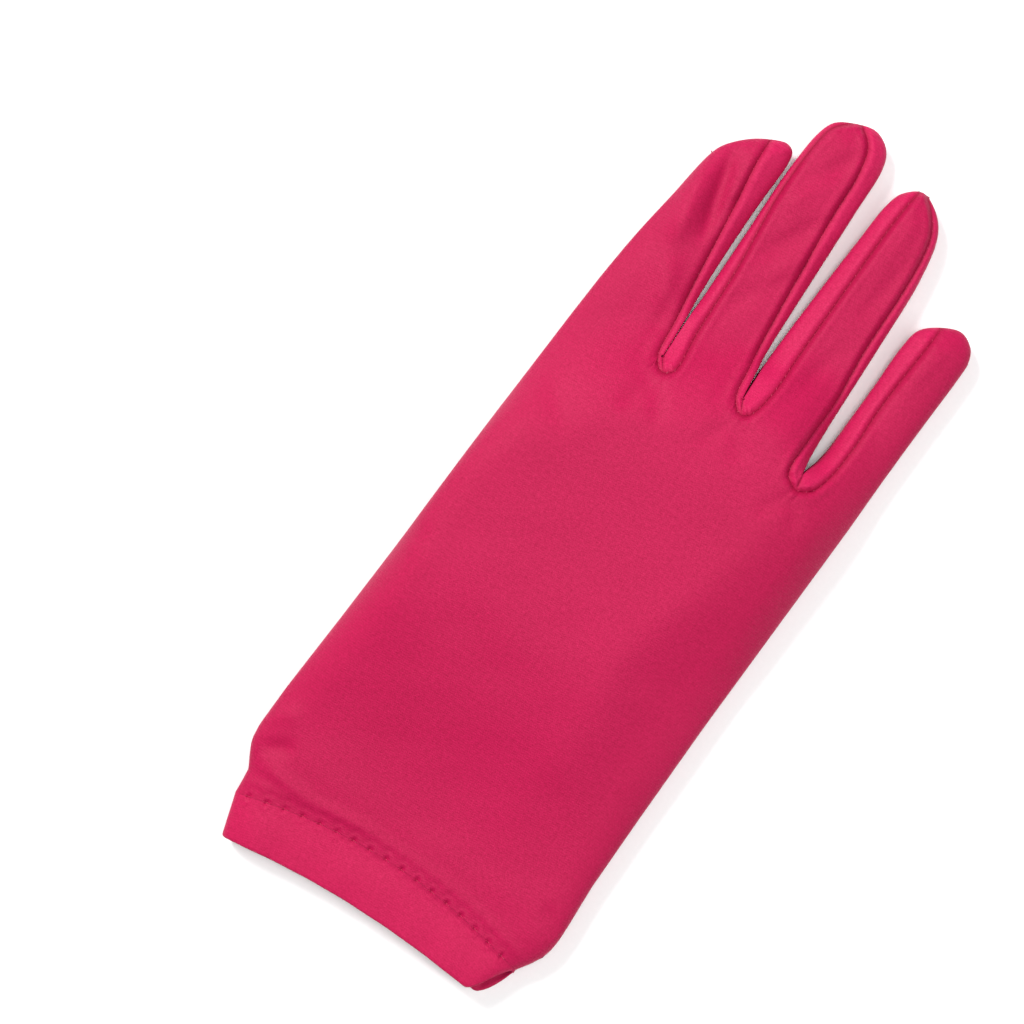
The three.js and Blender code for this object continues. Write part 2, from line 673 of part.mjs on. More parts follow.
// A panel: one grid over the hand, whose columns run on into the fingers
function panelGrid(face) {
  const fingers = FINGERS.map((_, f) => fingerGrid(f, face));
  const knuckles = [];
  const owner = [];
  fingers.forEach((grid, f) => {
    grid[0].forEach((spot) => {
      knuckles.push(spot.place);
      owner.push(f);
    });
    if (f < 3) {
      const crotch = crotchPlaces[f];
      knuckles.push(new THREE.Vector2(crotch.x, crotch[face] - SEAM_GAP * 0.6));
      owner.push(-1);
    }
  });
  const last = knuckles.length - 1;
  const mouthFrom = LEFT_COLUMNS;
  const mouthTo = last - RIGHT_COLUMNS;
  const knuckleShares = knuckles.map((p) => (p.x - KNUCKLE_LEFT) / (KNUCKLE_RIGHT - KNUCKLE_LEFT));
  const mouthWidth = handEdge('right', THUMB_MOUTH_LEVEL) - handEdge('left', THUMB_MOUTH_LEVEL);
  const mouthShares = knuckles.map((_, k) => {
    const from = THUMB_MOUTH_LEFT / mouthWidth;
    const to = (THUMB_MOUTH_LEFT + THUMB_MOUTH) / mouthWidth;
    if (k <= mouthFrom) return from * (k / mouthFrom) ** TIP_CROWDING;
    const round = (1 - Math.cos((Math.PI * (k - mouthFrom)) / (mouthTo - mouthFrom))) / 2;
    if (k <= mouthTo) return lerp(from, to, round);
    return 1 - (1 - to) * ((last - k) / (last - mouthTo)) ** TIP_CROWDING;
  });
  const cuffShares = knuckles.map((_, k) => (1 - Math.cos((Math.PI * k) / last)) / 2);
  const cuffLine = cuffShares.map((share) => {
    const x = lerp(CUFF_LEFT, CUFF_RIGHT, share);
    return stitchLevel(x) + SEAM_GAP / 2;
  });
  const southLine = knuckles.map(() => THUMB_MOUTH_LEVEL - SEAM_GAP / 2);
  const northLine = knuckles.map(() => THUMB_MOUTH_LEVEL + SEAM_GAP / 2);
  const knuckleLine = knuckles.map((place) => place.y);
  const rowOf = (from, to, share, low, high, north) => knuckles.map((_, k) => {
    const y = lerp(low[k], high[k], share);
    const x = lerp(handEdge('left', y), handEdge('right', y), lerp(from[k], to[k], share));
    return { place: new THREE.Vector2(x, y), rim: k === 0 || k === last, north };
  });
  const rows = [
    ...LOWER_ROWS.map((v) => rowOf(cuffShares, mouthShares, v, cuffLine, southLine, false)),
    ...UPPER_ROWS.map((v) => rowOf(mouthShares, knuckleShares, v, northLine, knuckleLine, true)),
    knuckles.map((place, k) => ({ place, rim: k === 0 || k === last, north: true })),
  ];
  for (let j = 1; j <= FINGER_ROWS; j += 1) {
    const row = [];
    fingers.forEach((grid, f) => {
      row.push(...grid[j].map((spot) => ({ ...spot, north: true })));
      if (f < 3) row.push(null);
    });
    rows.push(row);
  }
  const handRows = LOWER_ROWS.length + UPPER_ROWS.length;
  const mouthRow = LOWER_ROWS.length - 1;
  const offset = (face === 'palm' ? -1 : 1) * (SEAM_GAP / 2);
  const grid = rows.map((row) => row.map((spot) => {
    if (!spot) return null;
    return skin(spot.place, face, { north: spot.north, rim: spot.rim, offset: spot.rim ? offset : 0 });
  }));
  const has = (j, k) => {
    if (face === 'palm' && j === mouthRow && k >= mouthFrom && k < mouthTo) return false;
    return j < handRows || (owner[k] >= 0 && owner[k] === owner[k + 1]);
  };
  return { grid, has };
}

// A side strip of a finger, from the seam on the back round the finger's rim to the seam on the palm
function stripGrid(f, side) {
  const rim = rimPoints(f, side, 3);
  const rims = [rim[0], rim[0].clone().lerp(rim[1], 0.25), ...rim.slice(1)];
  const seams = { back: seamBorder(f, side, 'back', true), palm: seamBorder(f, side, 'palm', true) };
  return rims.map((edge, j) => {
    const half = (face) => Array.from({ length: STRIP_COLUMNS + 1 }, (_, c) => {
      const share = (c / STRIP_COLUMNS) ** STRIP_CROWDING;
      const place = mix(edge, seams[face][j], share);
      return skin(place, face, { north: true, rim: c === 0 });
    });
    return [...half('back').toReversed(), ...half('palm').slice(1)];
  });
}

// The thumb: a bag laid flat, open at its mouth and closed at its tip
function thumbGrid() {
  const rowShare = (j) => 1 - (1 - j / THUMB_ROWS) ** THUMB_CROWDING;
  const spread = Array.from({ length: THUMB_COLUMNS + 1 }, (_, k) => (
    (1 - Math.cos((Math.PI * k) / THUMB_COLUMNS)) / 2
  ));
  const half = THUMB_HEIGHT / 2;
  const spotAt = (place, top, rim) => {
    const found = thumbInside(place);
    const rise = rim ? 0 : edgeRise(found.depth);
    const gain = top ? half : -(half + FLOOR_PRESS);
    const z = Math.max(0, half + gain * rise);
    const pressed = half + gain * rise < 0;
    const edge = pressed ? 0 : gain * edgeSlope(rim ? 0 : found.depth);
    const normal = new THREE.Vector3(-edge * found.direction.x, -edge * found.direction.y, 1);
    if (!top) normal.negate();
    if (rim) normal.set(-found.direction.x, -found.direction.y, 0);
    return { point: new THREE.Vector3(place.x, place.y, z), normal: normal.normalize() };
  };
  const grid = [];
  for (let j = 0; j < THUMB_ROWS; j += 1) {
    const left = pointAt(thumbSides.left, rowShare(j));
    const right = pointAt(thumbSides.right, rowShare(j));
    const rowOf = (top) => spread.map((share, k) => (
      spotAt(mix(left, right, share), top, k === 0 || k === THUMB_COLUMNS)
    ));
    grid.push([...rowOf(true), ...rowOf(false).slice(1, -1).toReversed()]);
  }
  const ends = [pointAt(thumbSides.left, 1), pointAt(thumbSides.right, 1)];
  const tip = spotAt(mix(ends[0], ends[1], 0.5), true, true);
  return { grid, tip };
}

// The hem: a double band round the cuff. Near its right end the upper edge is drawn back and the lower one
// curls up, so that the cuff stands a little open there.
function hemGrid() {
  const spread = Array.from({ length: HEM_COLUMNS + 1 }, (_, k) => (
    (1 - Math.cos((Math.PI * k) / HEM_COLUMNS)) / 2
  ));
  const half = (HAND_HEIGHT * FULLNESS[0].height) / 2;
  const lipAt = (x) => smooth((x - (CUFF_RIGHT - LIP_DEPTH)) / LIP_DEPTH);
  const underAt = (x) => Math.max(0, (x - (CUFF_RIGHT - LIP_UNDER)) / LIP_UNDER) ** 2;
  const spotAt = (x, row, top, rim) => {
    const low = cuffLevel(x);
    const high = stitchLevel(x) - SEAM_GAP / 2;
    const lip = LIP_REACH * (top ? lipAt(x) : underAt(x));
    const share = row / HEM_ROWS;
    const y = lerp(high, Math.min(low + lip, high - HEM_CLOTH), share);
    const narrow = -acrossCuff(x) * (HEM_TAPER / 2) * share;
    const depth = rim ? 0 : Math.min(x - CUFF_LEFT, CUFF_RIGHT - x);
    const rise = edgeRise(depth);
    const gain = top ? half : -(half + FLOOR_PRESS);
    const curl = top ? 0 : LIP_CURL * underAt(x) * share * share;
    const z = Math.max(0, half + gain * rise) + curl;
    const toward = acrossCuff(x) < 0 ? 1 : -1;
    const pressed = half + gain * rise < 0;
    const edge = pressed ? 0 : gain * edgeSlope(depth);
    const normal = new THREE.Vector3(-edge * toward, 0, 1);
    if (!top) normal.negate();
    if (rim) normal.set(-toward, 0, 0);
    return { point: new THREE.Vector3(x + narrow, y, z), normal: normal.normalize() };
  };
  return Array.from({ length: HEM_ROWS + 1 }, (_, j) => {
    const rowOf = (top) => spread.map((share, k) => (
      spotAt(lerp(CUFF_LEFT, CUFF_RIGHT, share), j, top, k === 0 || k === HEM_COLUMNS)
    ));
    return [...rowOf(true), ...rowOf(false).slice(1, -1).toReversed()];
  });
}

// A named piece of the glove
function piece(name, geometry, finish) {
  const mesh = new THREE.Mesh(geometry, new THREE.MeshStandardMaterial(finish));
  mesh.name = name;
  return mesh;
}

function makePanel(name, face) {
  const { grid, has } = panelGrid(face);
  return piece(name, clothPiece(grid, CLOTH, { has }), SATIN);
}

function makeFourchettes() {
  const strips = new THREE.Group();
  FINGERS.forEach((finger, f) => {
    Object.keys(finger.seams).forEach((side) => {
      const strip = clothPiece(stripGrid(f, side), CLOTH);
      strips.add(piece(`fourchette_${finger.name}_${side}`, strip, SATIN_SIDE));
    });
  });
  return strips;
}

function makeThumb() {
  const { grid, tip } = thumbGrid();
  return piece('thumb', clothPiece(grid, CLOTH, { round: true, tip }), SATIN);
}

function makeHem() {
  return piece('cuff_hem', clothPiece(hemGrid(), HEM_CLOTH, { round: true }), SATIN_HEM);
}

// The whole glove, moved so that the middle of its footprint is the origin
const glove = new THREE.Group();
const body = new THREE.Group();
body.add(makePanel('back_panel', 'back'), makePanel('palm_panel', 'palm'), makeThumb(), makeHem());
glove.add(body, makeFourchettes());
const box = new THREE.Box3().setFromObject(glove);
glove.position.set(-(box.min.x + box.max.x) / 2, -(box.min.y + box.max.y) / 2, -box.min.z);

export default glove;
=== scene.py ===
# %% [markdown]
# # A wrist-length satin dress glove
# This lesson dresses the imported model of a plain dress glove, a right hand's, that lies empty on a pale table with
# its back up. The frame gives every piece its place. The cloth is made again at a finer pitch, with its seams,
# soft folds, hem and knit.

# %% Load the frame
import bpy
import math
import numpy as np
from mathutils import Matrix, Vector


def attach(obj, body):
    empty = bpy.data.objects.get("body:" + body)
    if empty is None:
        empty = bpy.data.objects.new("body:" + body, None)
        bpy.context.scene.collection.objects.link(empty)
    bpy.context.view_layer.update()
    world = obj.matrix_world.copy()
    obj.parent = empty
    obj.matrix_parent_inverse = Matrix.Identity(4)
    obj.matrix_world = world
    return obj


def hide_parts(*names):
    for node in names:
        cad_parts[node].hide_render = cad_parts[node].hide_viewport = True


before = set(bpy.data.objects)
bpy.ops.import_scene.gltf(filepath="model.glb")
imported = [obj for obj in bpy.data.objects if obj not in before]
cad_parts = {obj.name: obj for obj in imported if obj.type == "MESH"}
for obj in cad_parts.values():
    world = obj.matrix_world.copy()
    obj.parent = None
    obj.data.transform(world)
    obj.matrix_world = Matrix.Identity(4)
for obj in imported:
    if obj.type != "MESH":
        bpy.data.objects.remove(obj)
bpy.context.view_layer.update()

# %% [markdown]
# The sizes are in millimetres, as a pattern cutter would write them, and one number turns them into metres at the
# end. X runs to the little finger, Y to the fingertips and Z up. Y = 0 is near the cuff and X = 0 is the middle
# finger's root, so the whole glove is then moved by ORIGIN into the frame. CLOTH is the knit's wall, the gaps keep
# neighbouring pieces apart, and EDGE_ROUND and EDGE_POWER say how the empty glove rounds off at its rim.

# %% Sizes of the glove
MM = 0.001
ORIGIN = np.array([-3.981, -114.049, 0.0])
CLOTH = 0.7
SEAM_GAP = 0.04
FINGER_GAP = 0.4
FINGERS_TOUCH = 0.14
TOUCH_LEVELS = (166.5, 164, 149)
TOUCH_RISE = 0.8
HAND_LENGTH = 151.5
CUFF_WIDTH = 82
CUFF_ASIDE = 1
CUFF_DROP = 0.8
CUFF_SWELL = 4.7
HEM_DEPTH = 13.4
HEM_BOW = 3.3
HEM_TAPER = 2.8
STITCH_BOW = 6.2
LIP_REACH = 10
LIP_UNDER = 6.5
LIP_DEPTH = 9
LIP_CURL = 2.6
HAND_HEIGHT = 8.8
THUMB_HEIGHT = 7.2
EDGE_ROUND = 9.5
EDGE_POWER = 2.2
FLOOR_PRESS = 0.6
WEB_DEPTH = 3.3
THUMB_MOUTH = 50
THUMB_MOUTH_LEFT = 8
THUMB_MOUTH_LEVEL = 84
THUMB_REACH = 65.5
PALM_DRAPE = 16
BACK_DRAPE = 28
BACK_RISE = 58
MOUTH_RAMP = 6
MOUTH_EDGE = 0.3
PALM_CLEARANCE = 0.5
print("cuff", CUFF_WIDTH, "mm wide, hand", HAND_LENGTH, "mm long")

# %% [markdown]
# Each finger is a short table. Width is across its root and length runs from the crotches to its tip. Outline rows
# give the finger's edge and seam rows the line where a side strip is sewn on, as shares of the length and of half
# the width. A crotch has its level on the back and on the palm, as shares of the hand's length, and how far its short
# seam runs up and aside, as shares of its depth. Tables keep a sewn shape easy to read and to change.

# %% Tables of the four fingers
FINGERS = [
    {"name": "index", "width": 24.55, "length": 64.7, "tip": 0.829, "turn": {"left": (0.82, -0.37)},
     "outline": [(0.12, 0.94, 1.01), (0.2, 0.898, 1.003), (0.4, 0.76, 0.976), (0.6, 0.572, 0.984),
                 (0.8, 0.385, 1.024), (0.86, 0.255, 1.05), (0.94, -0.153, 1.057), (0.985, -0.568, 1.0)],
     "seams": {"right": [(0.05, 0.91, 0.86), (0.19, 0.845, 0.8), (0.37, 0.747, 0.74), (0.66, 0.617, 0.66),
                         (0.88, 0.503, 0.56), (0.975, 0.503, 0.503)]}},
    {"name": "middle", "width": 21.5, "length": 78.45, "tip": 0.31, "turn": {},
     "outline": [(0.1, 1.01, 0.99), (0.2, 0.996, 0.96), (0.27, 0.972, 0.944), (0.5, 0.93, 0.944),
                 (0.75, 0.888, 0.944), (0.9, 0.758, 0.94), (0.95, 0.59, 0.842), (0.98, 0.24, 0.66)],
     "seams": {"left": [(0.02, -0.609, -0.62), (0.15, -0.647, -0.66), (0.4, -0.665, -0.64), (0.66, -0.777, -0.6),
                        (0.86, -0.69, -0.52), (0.93, -0.563, -0.4), (0.975, -0.2, -0.2)],
               "right": [(0.05, 0.86, 0.7), (0.15, 0.78, 0.6), (0.27, 0.71, 0.5), (0.5, 0.61, 0.45),
                         (0.7, 0.535, 0.42), (0.85, 0.52, 0.38), (0.94, 0.36, 0.3), (0.985, -0.02, -0.02)]}},
    {"name": "ring", "width": 21.8, "length": 75.35, "tip": -0.037, "turn": {},
     "outline": [(0.25, 0.986, 1.0), (0.5, 0.862, 1.0), (0.75, 0.706, 0.968), (0.9, 0.596, 0.78),
                 (0.96, 0.44, 0.495)],
     "seams": {"left": [(0.08, -0.65, -0.7), (0.17, -0.505, -0.62), (0.31, -0.45, -0.58), (0.515, -0.385, -0.5),
                        (0.83, -0.275, -0.34), (0.94, -0.2, -0.24), (0.995, -0.12, -0.12)],
               "right": [(-0.02, 0.72, 0.7), (0.11, 0.734, 0.66), (0.255, 0.817, 0.62), (0.46, 0.75, 0.58),
                         (0.67, 0.77, 0.54), (0.8, 0.734, 0.5), (0.89, 0.624, 0.4), (0.95, 0.376, 0.28),
                         (0.995, 0.05, 0.05)]}},
    {"name": "little", "width": 17.5, "length": 55.5, "tip": 0.69, "turn": {"right": (0.9, 1.314)},
     "outline": [(0.2, 0.766, 1.057), (0.4, 0.651, 1.131), (0.6, 0.577, 1.217), (0.8, 0.52, 1.309),
                 (0.9, 0.383, 1.314), (0.96, -0.03, 1.149)],
     "seams": {"left": [(0.03, -0.55, -0.56), (0.13, -0.31, -0.36), (0.3, -0.166, -0.24), (0.48, -0.14, -0.16),
                        (0.7, -0.04, -0.06), (0.87, 0.08, 0.06), (0.965, 0.13, 0.13)]}},
]
CROTCHES = [(1, 1.008, 1, 0.55), (1.0086, 1.016, 1.05, 0.48), (0.9538, 0.962, 1.3, 0.18)]
print([f["name"] for f in FINGERS])

# %% [markdown]
# The hand's own tables: how its left and right edges swell past a straight line, how full the empty glove is along
# its length, and the thumb's left and right outline, as shares of its reach and of its mouth's width.

# %% Tables of the hand and the thumb
SWELL = np.array([(0, 0, 0), (0.02, 0.05, 0.38), (0.045, 0.14, 0.75), (0.068, 0.55, 0.88), (0.09, 0.88, 0.89),
                  (0.12, 1, 0.82), (0.2, 0.96, 0.58), (0.35, 0.73, 0.4), (0.55, 0.47, 0.21), (0.8, 0.25, 0.09),
                  (1, 0, 0)], dtype=float)
FULLNESS = np.array([(0, 0.93), (0.055, 0.93), (0.1, 1), (0.65, 1), (0.85, 0.96), (1, 0.92)])
THUMB = [(0, 0, 1), (0.06, -0.005, 1.01), (0.16, -0.03, 1.05), (0.33, -0.02, 1.12), (0.45, 0.06, 1.18),
         (0.57, 0.2, 1.22), (0.61, 0.28, 1.235), (0.72, 0.36, 1.255), (0.8, 0.5, 1.265), (0.87, 0.68, 1.24),
         (0.955, 0.86, 1.18), (1, 1.04, 1.1)]
print(len(SWELL), "swell rows,", len(THUMB), "thumb rows")

# %% [markdown]
# A cut cloth edge is a smooth line through a few points. This one is a centripetal spline, which doesn't overshoot
# where points crowd, and it is read by shares of its own length, so rows of cloth can be spaced evenly along it.
# Two helpers shape all that is soft here: a step without corners, and a bell that fades on both sides.

# %% Smooth curves in plan
def smooth(t):
    s = np.clip(t, 0, 1)
    return s * s * (3 - 2 * s)


def bell(gap, width):
    return np.exp(-(gap / width) ** 2)


class PlanCurve:
    def __init__(self, points, steps=60):
        p = np.array(points, dtype=float)
        p = np.vstack([2 * p[0] - p[1], p, 2 * p[-1] - p[-2]])
        runs = []
        for a, b, c, d in zip(p, p[1:], p[2:], p[3:]):
            t1 = math.dist(a, b) ** 0.5
            t2 = t1 + math.dist(b, c) ** 0.5
            t3 = t2 + math.dist(c, d) ** 0.5
            t = np.linspace(t1, t2, steps, endpoint=False)[:, None]
            ab = a * (t1 - t) / t1 + b * t / t1
            bc = b * (t2 - t) / (t2 - t1) + c * (t - t1) / (t2 - t1)
            cd = c * (t3 - t) / (t3 - t2) + d * (t - t2) / (t3 - t2)
            abc = ab * (t2 - t) / t2 + bc * t / t2
            bcd = bc * (t3 - t) / (t3 - t1) + cd * (t - t1) / (t3 - t1)
            runs.append(abc * (t2 - t) / (t2 - t1) + bcd * (t - t1) / (t2 - t1))
        self.line = np.vstack(runs + [p[-2:-1]])
        reach = np.concatenate([[0], np.cumsum(np.linalg.norm(np.diff(self.line, axis=0), axis=1))])
        self.length = reach[-1]
        self.shares = reach / self.length

    def at(self, share):
        return np.stack([np.interp(share, self.shares, self.line[:, i]) for i in (0, 1)], axis=-1)

    def nearest(self, point):
        return self.shares[np.argmin(np.linalg.norm(self.line - np.array(point), axis=1))]


print("straight test curve:", round(PlanCurve([(0, 0), (5, 0), (10, 0)]).length, 3), "mm")

# %% [markdown]
# The layout puts the four finger roots side by side and finds the hand's edges between the cuff and the knuckles.
# The outline then runs up the index finger's side, round every finger and down the little finger's side.

# %% Lay out the hand
cursor = -(FINGERS[0]["width"] + FINGER_GAP + FINGERS[1]["width"] / 2)
ROOTS = []
for f, finger in enumerate(FINGERS):
    beside = CROTCHES[max(0, f - 1):f + 1]
    level = HAND_LENGTH * sum(c[0] for c in beside) / len(beside)
    ROOTS.append({"left": cursor, "right": cursor + finger["width"], "level": level})
    cursor += finger["width"] + FINGER_GAP
KNUCKLE_LEFT, KNUCKLE_RIGHT = ROOTS[0]["left"], ROOTS[3]["right"]
CUFF_LEFT = -CUFF_WIDTH / 2 - CUFF_ASIDE
CUFF_RIGHT = CUFF_LEFT + CUFF_WIDTH
CUFF_MIDDLE = (CUFF_LEFT + CUFF_RIGHT) / 2
STITCH_LEVEL = HEM_DEPTH + CUFF_DROP - STITCH_BOW
OVERALL = HAND_LENGTH + FINGERS[1]["length"]
crotch_places = [{"x": ROOTS[i]["right"] + FINGER_GAP / 2 + aside * WEB_DEPTH, "back": back * HAND_LENGTH,
                  "palm": palm * HAND_LENGTH, "end": back * HAND_LENGTH + web * WEB_DEPTH}
                 for i, (back, palm, web, aside) in enumerate(CROTCHES)]


def hand_edge(side, y):
    root = ROOTS[0] if side == "left" else ROOTS[3]
    start, stop = (CUFF_LEFT, KNUCKLE_LEFT) if side == "left" else (CUFF_RIGHT, KNUCKLE_RIGHT)
    along = np.clip((y - STITCH_LEVEL) / (root["level"] - STITCH_LEVEL), 0, 1)
    swell = np.interp(along, SWELL[:, 0], SWELL[:, 1 if side == "left" else 2]) * CUFF_SWELL
    return start + (stop - start) * along + (-swell if side == "left" else swell)


def finger_place(f, along, across):
    root = ROOTS[f]
    return ((root["left"] + root["right"]) / 2 + across * FINGERS[f]["width"] / 2,
            root["level"] + along * FINGERS[f]["length"])


outlines = []
for f, finger in enumerate(FINGERS):
    left_end = ROOTS[0]["level"] if f == 0 else crotch_places[f - 1]["end"]
    right_end = ROOTS[3]["level"] if f == 3 else crotch_places[f]["end"]
    outlines.append(PlanCurve([(ROOTS[f]["left"] - (FINGERS_TOUCH if f else 0), left_end)]
                              + [finger_place(f, a, -left) for a, left, _ in finger["outline"]]
                              + [finger_place(f, 1, finger["tip"])]
                              + [finger_place(f, a, right) for a, _, right in finger["outline"][::-1]]
                              + [(ROOTS[f]["right"] + (FINGERS_TOUCH if f < 3 else 0), right_end)]))
print("finger outlines, mm:", [round(c.length) for c in outlines])

# %% [markdown]
# An empty glove is almost flat, and its height comes from how far a place lies inside its outline: nothing at the
# rim, then a quick round, then a nearly level top. So each piece needs a distance to an outline or a seam. This
# helper measures it for many places at once.

# %% Distance to a line
def to_line(places, line, chunk=3000):
    a, b = line[:-1], line[1:]
    run = b - a
    size = np.maximum((run ** 2).sum(axis=1), 1e-12)
    reach = np.concatenate([[0], np.cumsum(np.sqrt(size))])
    depth, along, side = [], [], []
    for i in range(0, len(places), chunk):
        p = places[i:i + chunk, None, :] - a[None]
        share = np.clip((p * run[None]).sum(axis=2) / size, 0, 1)
        gap = p - share[..., None] * run[None]
        far = np.linalg.norm(gap, axis=2)
        best = np.argmin(far, axis=1)
        rows = np.arange(len(best))
        cross = run[best, 0] * gap[rows, best, 1] - run[best, 1] * gap[rows, best, 0]
        depth.append(far[rows, best])
        along.append(reach[best] + share[rows, best] * np.sqrt(size[best]))
        side.append(np.sign(cross))
    return np.concatenate(depth), np.concatenate(along), np.concatenate(side)


def edge_line(side, top, steps=90):
    y = np.linspace(STITCH_LEVEL - HEM_DEPTH, top, steps)
    return np.stack([hand_edge(side, y), y], axis=1)


GLOVE_LINE = np.vstack([edge_line("left", ROOTS[0]["level"])] + [c.at(np.linspace(0, 1, 110)) for c in outlines]
                       + [edge_line("right", ROOTS[3]["level"])[::-1]])
print("the glove's outline has", len(GLOVE_LINE), "points")

# %% [markdown]
# The skin is the outer face of the cloth over any plan place. On the palm it is pressed flat by the table, and over
# the folded thumb it is lifted. The back is lifted too, more gently, because it only bridges what lies under it. The
# roots of the fingers lie pressed together, so the cloth stays high there up to the line where they touch.

# %% The skin of the glove
mouth_left = float(hand_edge("left", THUMB_MOUTH_LEVEL)) + THUMB_MOUTH_LEFT
LIFT = THUMB_HEIGHT + PALM_CLEARANCE
thumb_points = [(mouth_left + np.array([left, right]) * THUMB_MOUTH,
                 THUMB_MOUTH_LEVEL + SEAM_GAP / 2 + along * THUMB_REACH) for along, left, right in THUMB]
thumb_sides = {"left": PlanCurve([(xs[0], y) for xs, y in thumb_points]),
               "right": PlanCurve([(xs[1], y) for xs, y in thumb_points])}
THUMB_LINE = np.vstack([thumb_sides["left"].at(np.linspace(0, 1, 90)),
                        thumb_sides["right"].at(np.linspace(1, 0, 90))])


def edge_rise(depth):
    left = 1 - np.clip(depth / EDGE_ROUND, 0, 1)
    return (1 - left ** EDGE_POWER) ** (1 / EDGE_POWER)


def thumb_depth(places):
    depth, _, side = to_line(places, THUMB_LINE)
    mouth = (places[:, 0] > mouth_left) & (places[:, 0] < mouth_left + THUMB_MOUTH)
    return depth, (side < 0) & ((places[:, 1] > THUMB_MOUTH_LEVEL) | mouth)


def beside_thumb(places, depth, within):
    gap = np.maximum(np.maximum(mouth_left - places[:, 0], places[:, 0] - mouth_left - THUMB_MOUTH), 0)
    south = np.hypot(gap, THUMB_MOUTH_LEVEL - places[:, 1])
    return np.where(places[:, 1] < THUMB_MOUTH_LEVEL, south, np.where(within, 0, depth))


def palm_lift(places, north):
    held = places.copy()
    held[:, 1] = np.where(north, np.maximum(places[:, 1], THUMB_MOUTH_LEVEL), places[:, 1])
    apart = smooth(np.abs(held[:, 1] - THUMB_MOUTH_LEVEL) / MOUTH_RAMP)
    in_mouth = np.maximum(np.minimum(held[:, 0] - mouth_left, mouth_left + THUMB_MOUTH - held[:, 0]), 0)
    south = LIFT / 2 * (1 - edge_rise(in_mouth)) * (1 - apart)
    depth, within = thumb_depth(held)
    over = np.where(within, edge_rise(depth), 0)
    rise = np.where(north, LIFT * (1 - (0.5 - 0.5 * over) * (1 - apart)), south)
    return rise * smooth(1 - beside_thumb(places, depth, within) / PALM_DRAPE)


def back_lift(places):
    north = places.copy()
    north[:, 1] = np.maximum(places[:, 1], THUMB_MOUTH_LEVEL + MOUTH_EDGE)
    depth, within = thumb_depth(north)
    rise = smooth((places[:, 1] - THUMB_MOUTH_LEVEL + BACK_RISE) / BACK_RISE)
    return LIFT * rise * smooth(1 - beside_thumb(north, depth, within) / BACK_DRAPE)


TOUCH_HALF, TOUCH_FADE = 9, 4
TOUCH_TOP, TOUCH_TOP_FADE = 5, 6


def touching(places):
    """How closely the fingers press side by side here: 1 at a root where two touch, 0 away from it."""
    total = np.zeros(len(places))
    for place, level in zip(crotch_places, TOUCH_LEVELS):
        beside = smooth((TOUCH_HALF - np.abs(places[:, 0] - place["x"])) / TOUCH_FADE)
        below = smooth((level + TOUCH_TOP - places[:, 1]) / TOUCH_TOP_FADE)
        total += beside * below * smooth((places[:, 1] - place["back"] + TOUCH_FADE) / TOUCH_FADE)
    return np.clip(total, 0, 1)


def skin_height(places, face, north, rim, folds=0):
    depth, _, _ = to_line(places, GLOVE_LINE)
    depth = np.where(rim, 0, depth)
    half = HAND_HEIGHT * np.interp(places[:, 1] / OVERALL, FULLNESS[:, 0], FULLNESS[:, 1]) / 2
    lift = palm_lift(places, north)
    rise = 1 - (1 - edge_rise(depth)) * (1 - TOUCH_RISE * touching(places))
    if face == "palm":
        return np.maximum(lift, lift + half - (half + FLOOR_PRESS) * rise)
    return lift + half + (half + back_lift(places) - lift + folds) * rise


test = np.array([(0.0, 40.0), (0.0, 120.0)])
print("back height at the wrist and over the thumb, mm:",
      skin_height(test, "back", test[:, 1] > THUMB_MOUTH_LEVEL, np.zeros(2, bool)).round(2))

# %% [markdown]
# Real cloth is never level. Three things break it up: named soft folds, such as the ridge where the index finger
# has been bent, a slow unevenness all over, and the drawing-in along every seam. Folds are short rows of two ends,
# a width and a height, all in millimetres, and a negative height is a furrow. Each fades out at both ends. The slow
# waves are rows of two rates, a turn and a height.

# %% Soft folds on the back
FOLDS = [
    (-29.5, 205, -23.5, 178, 3.0, 2.2), (-23, 178, -16.5, 162, 3.0, 1.2), (-24, 210, -18.2, 184, 2.1, -2.0),
    (-14.5, 203, -19, 186, 1.6, -0.5), (-19, 168, -13.5, 158, 2.2, -0.6), (-33.5, 198, -30, 170, 2.6, -1.3),
    (4.5, 226, -4.5, 206, 2.4, -0.9), (5.5, 206, -5, 187, 2.6, -1.0), (4, 189, -5.5, 171, 2.4, -0.8),
    (1, 216, -6, 201, 2.0, 0.7), (6, 198, -1, 179, 2.0, 0.7), (5.5, 172, -2, 158, 2.6, -0.7),
    (7.6, 222, 6.8, 200, 1.6, -0.5),
    (24, 220, 21, 196, 2.0, 0.45), (28, 208, 24, 186, 1.8, -0.5), (26, 184, 22, 166, 2.2, -0.5),
    (21, 178, 18, 160, 2.0, 0.4), (47, 196, 43, 176, 1.8, 0.5), (43, 184, 41, 166, 1.7, -0.5),
    (-9, 150, -14, 138, 2.4, -0.7), (-8.6, 149, -3, 139, 2.2, -0.55), (12.5, 151, 7, 141, 2.2, -0.6),
    (12.8, 151, 19, 142, 2.4, -0.6), (33.8, 143, 28, 134, 2.2, -0.6), (34, 143, 39, 135, 2.0, -0.5),
    (-35, 25, -43.5, 20.5, 2.0, -1.3), (-38, 33, -46, 28, 2.4, 0.7), (37, 26, 44, 20, 2.2, -0.7),
    (-41, 17.5, -24, 16.5, 1.6, 0.7), (-26, 16.6, -6, 18.8, 1.6, 0.45),
    (-30, 118, -12, 100, 5, 0.3), (10, 92, 26, 84, 5, 0.25), (-24, 76, 6, 66, 6, -0.3), (16, 60, 34, 50, 5, 0.25),
]


FOLD_END, FOLD_FADE = 0.25, 2.2


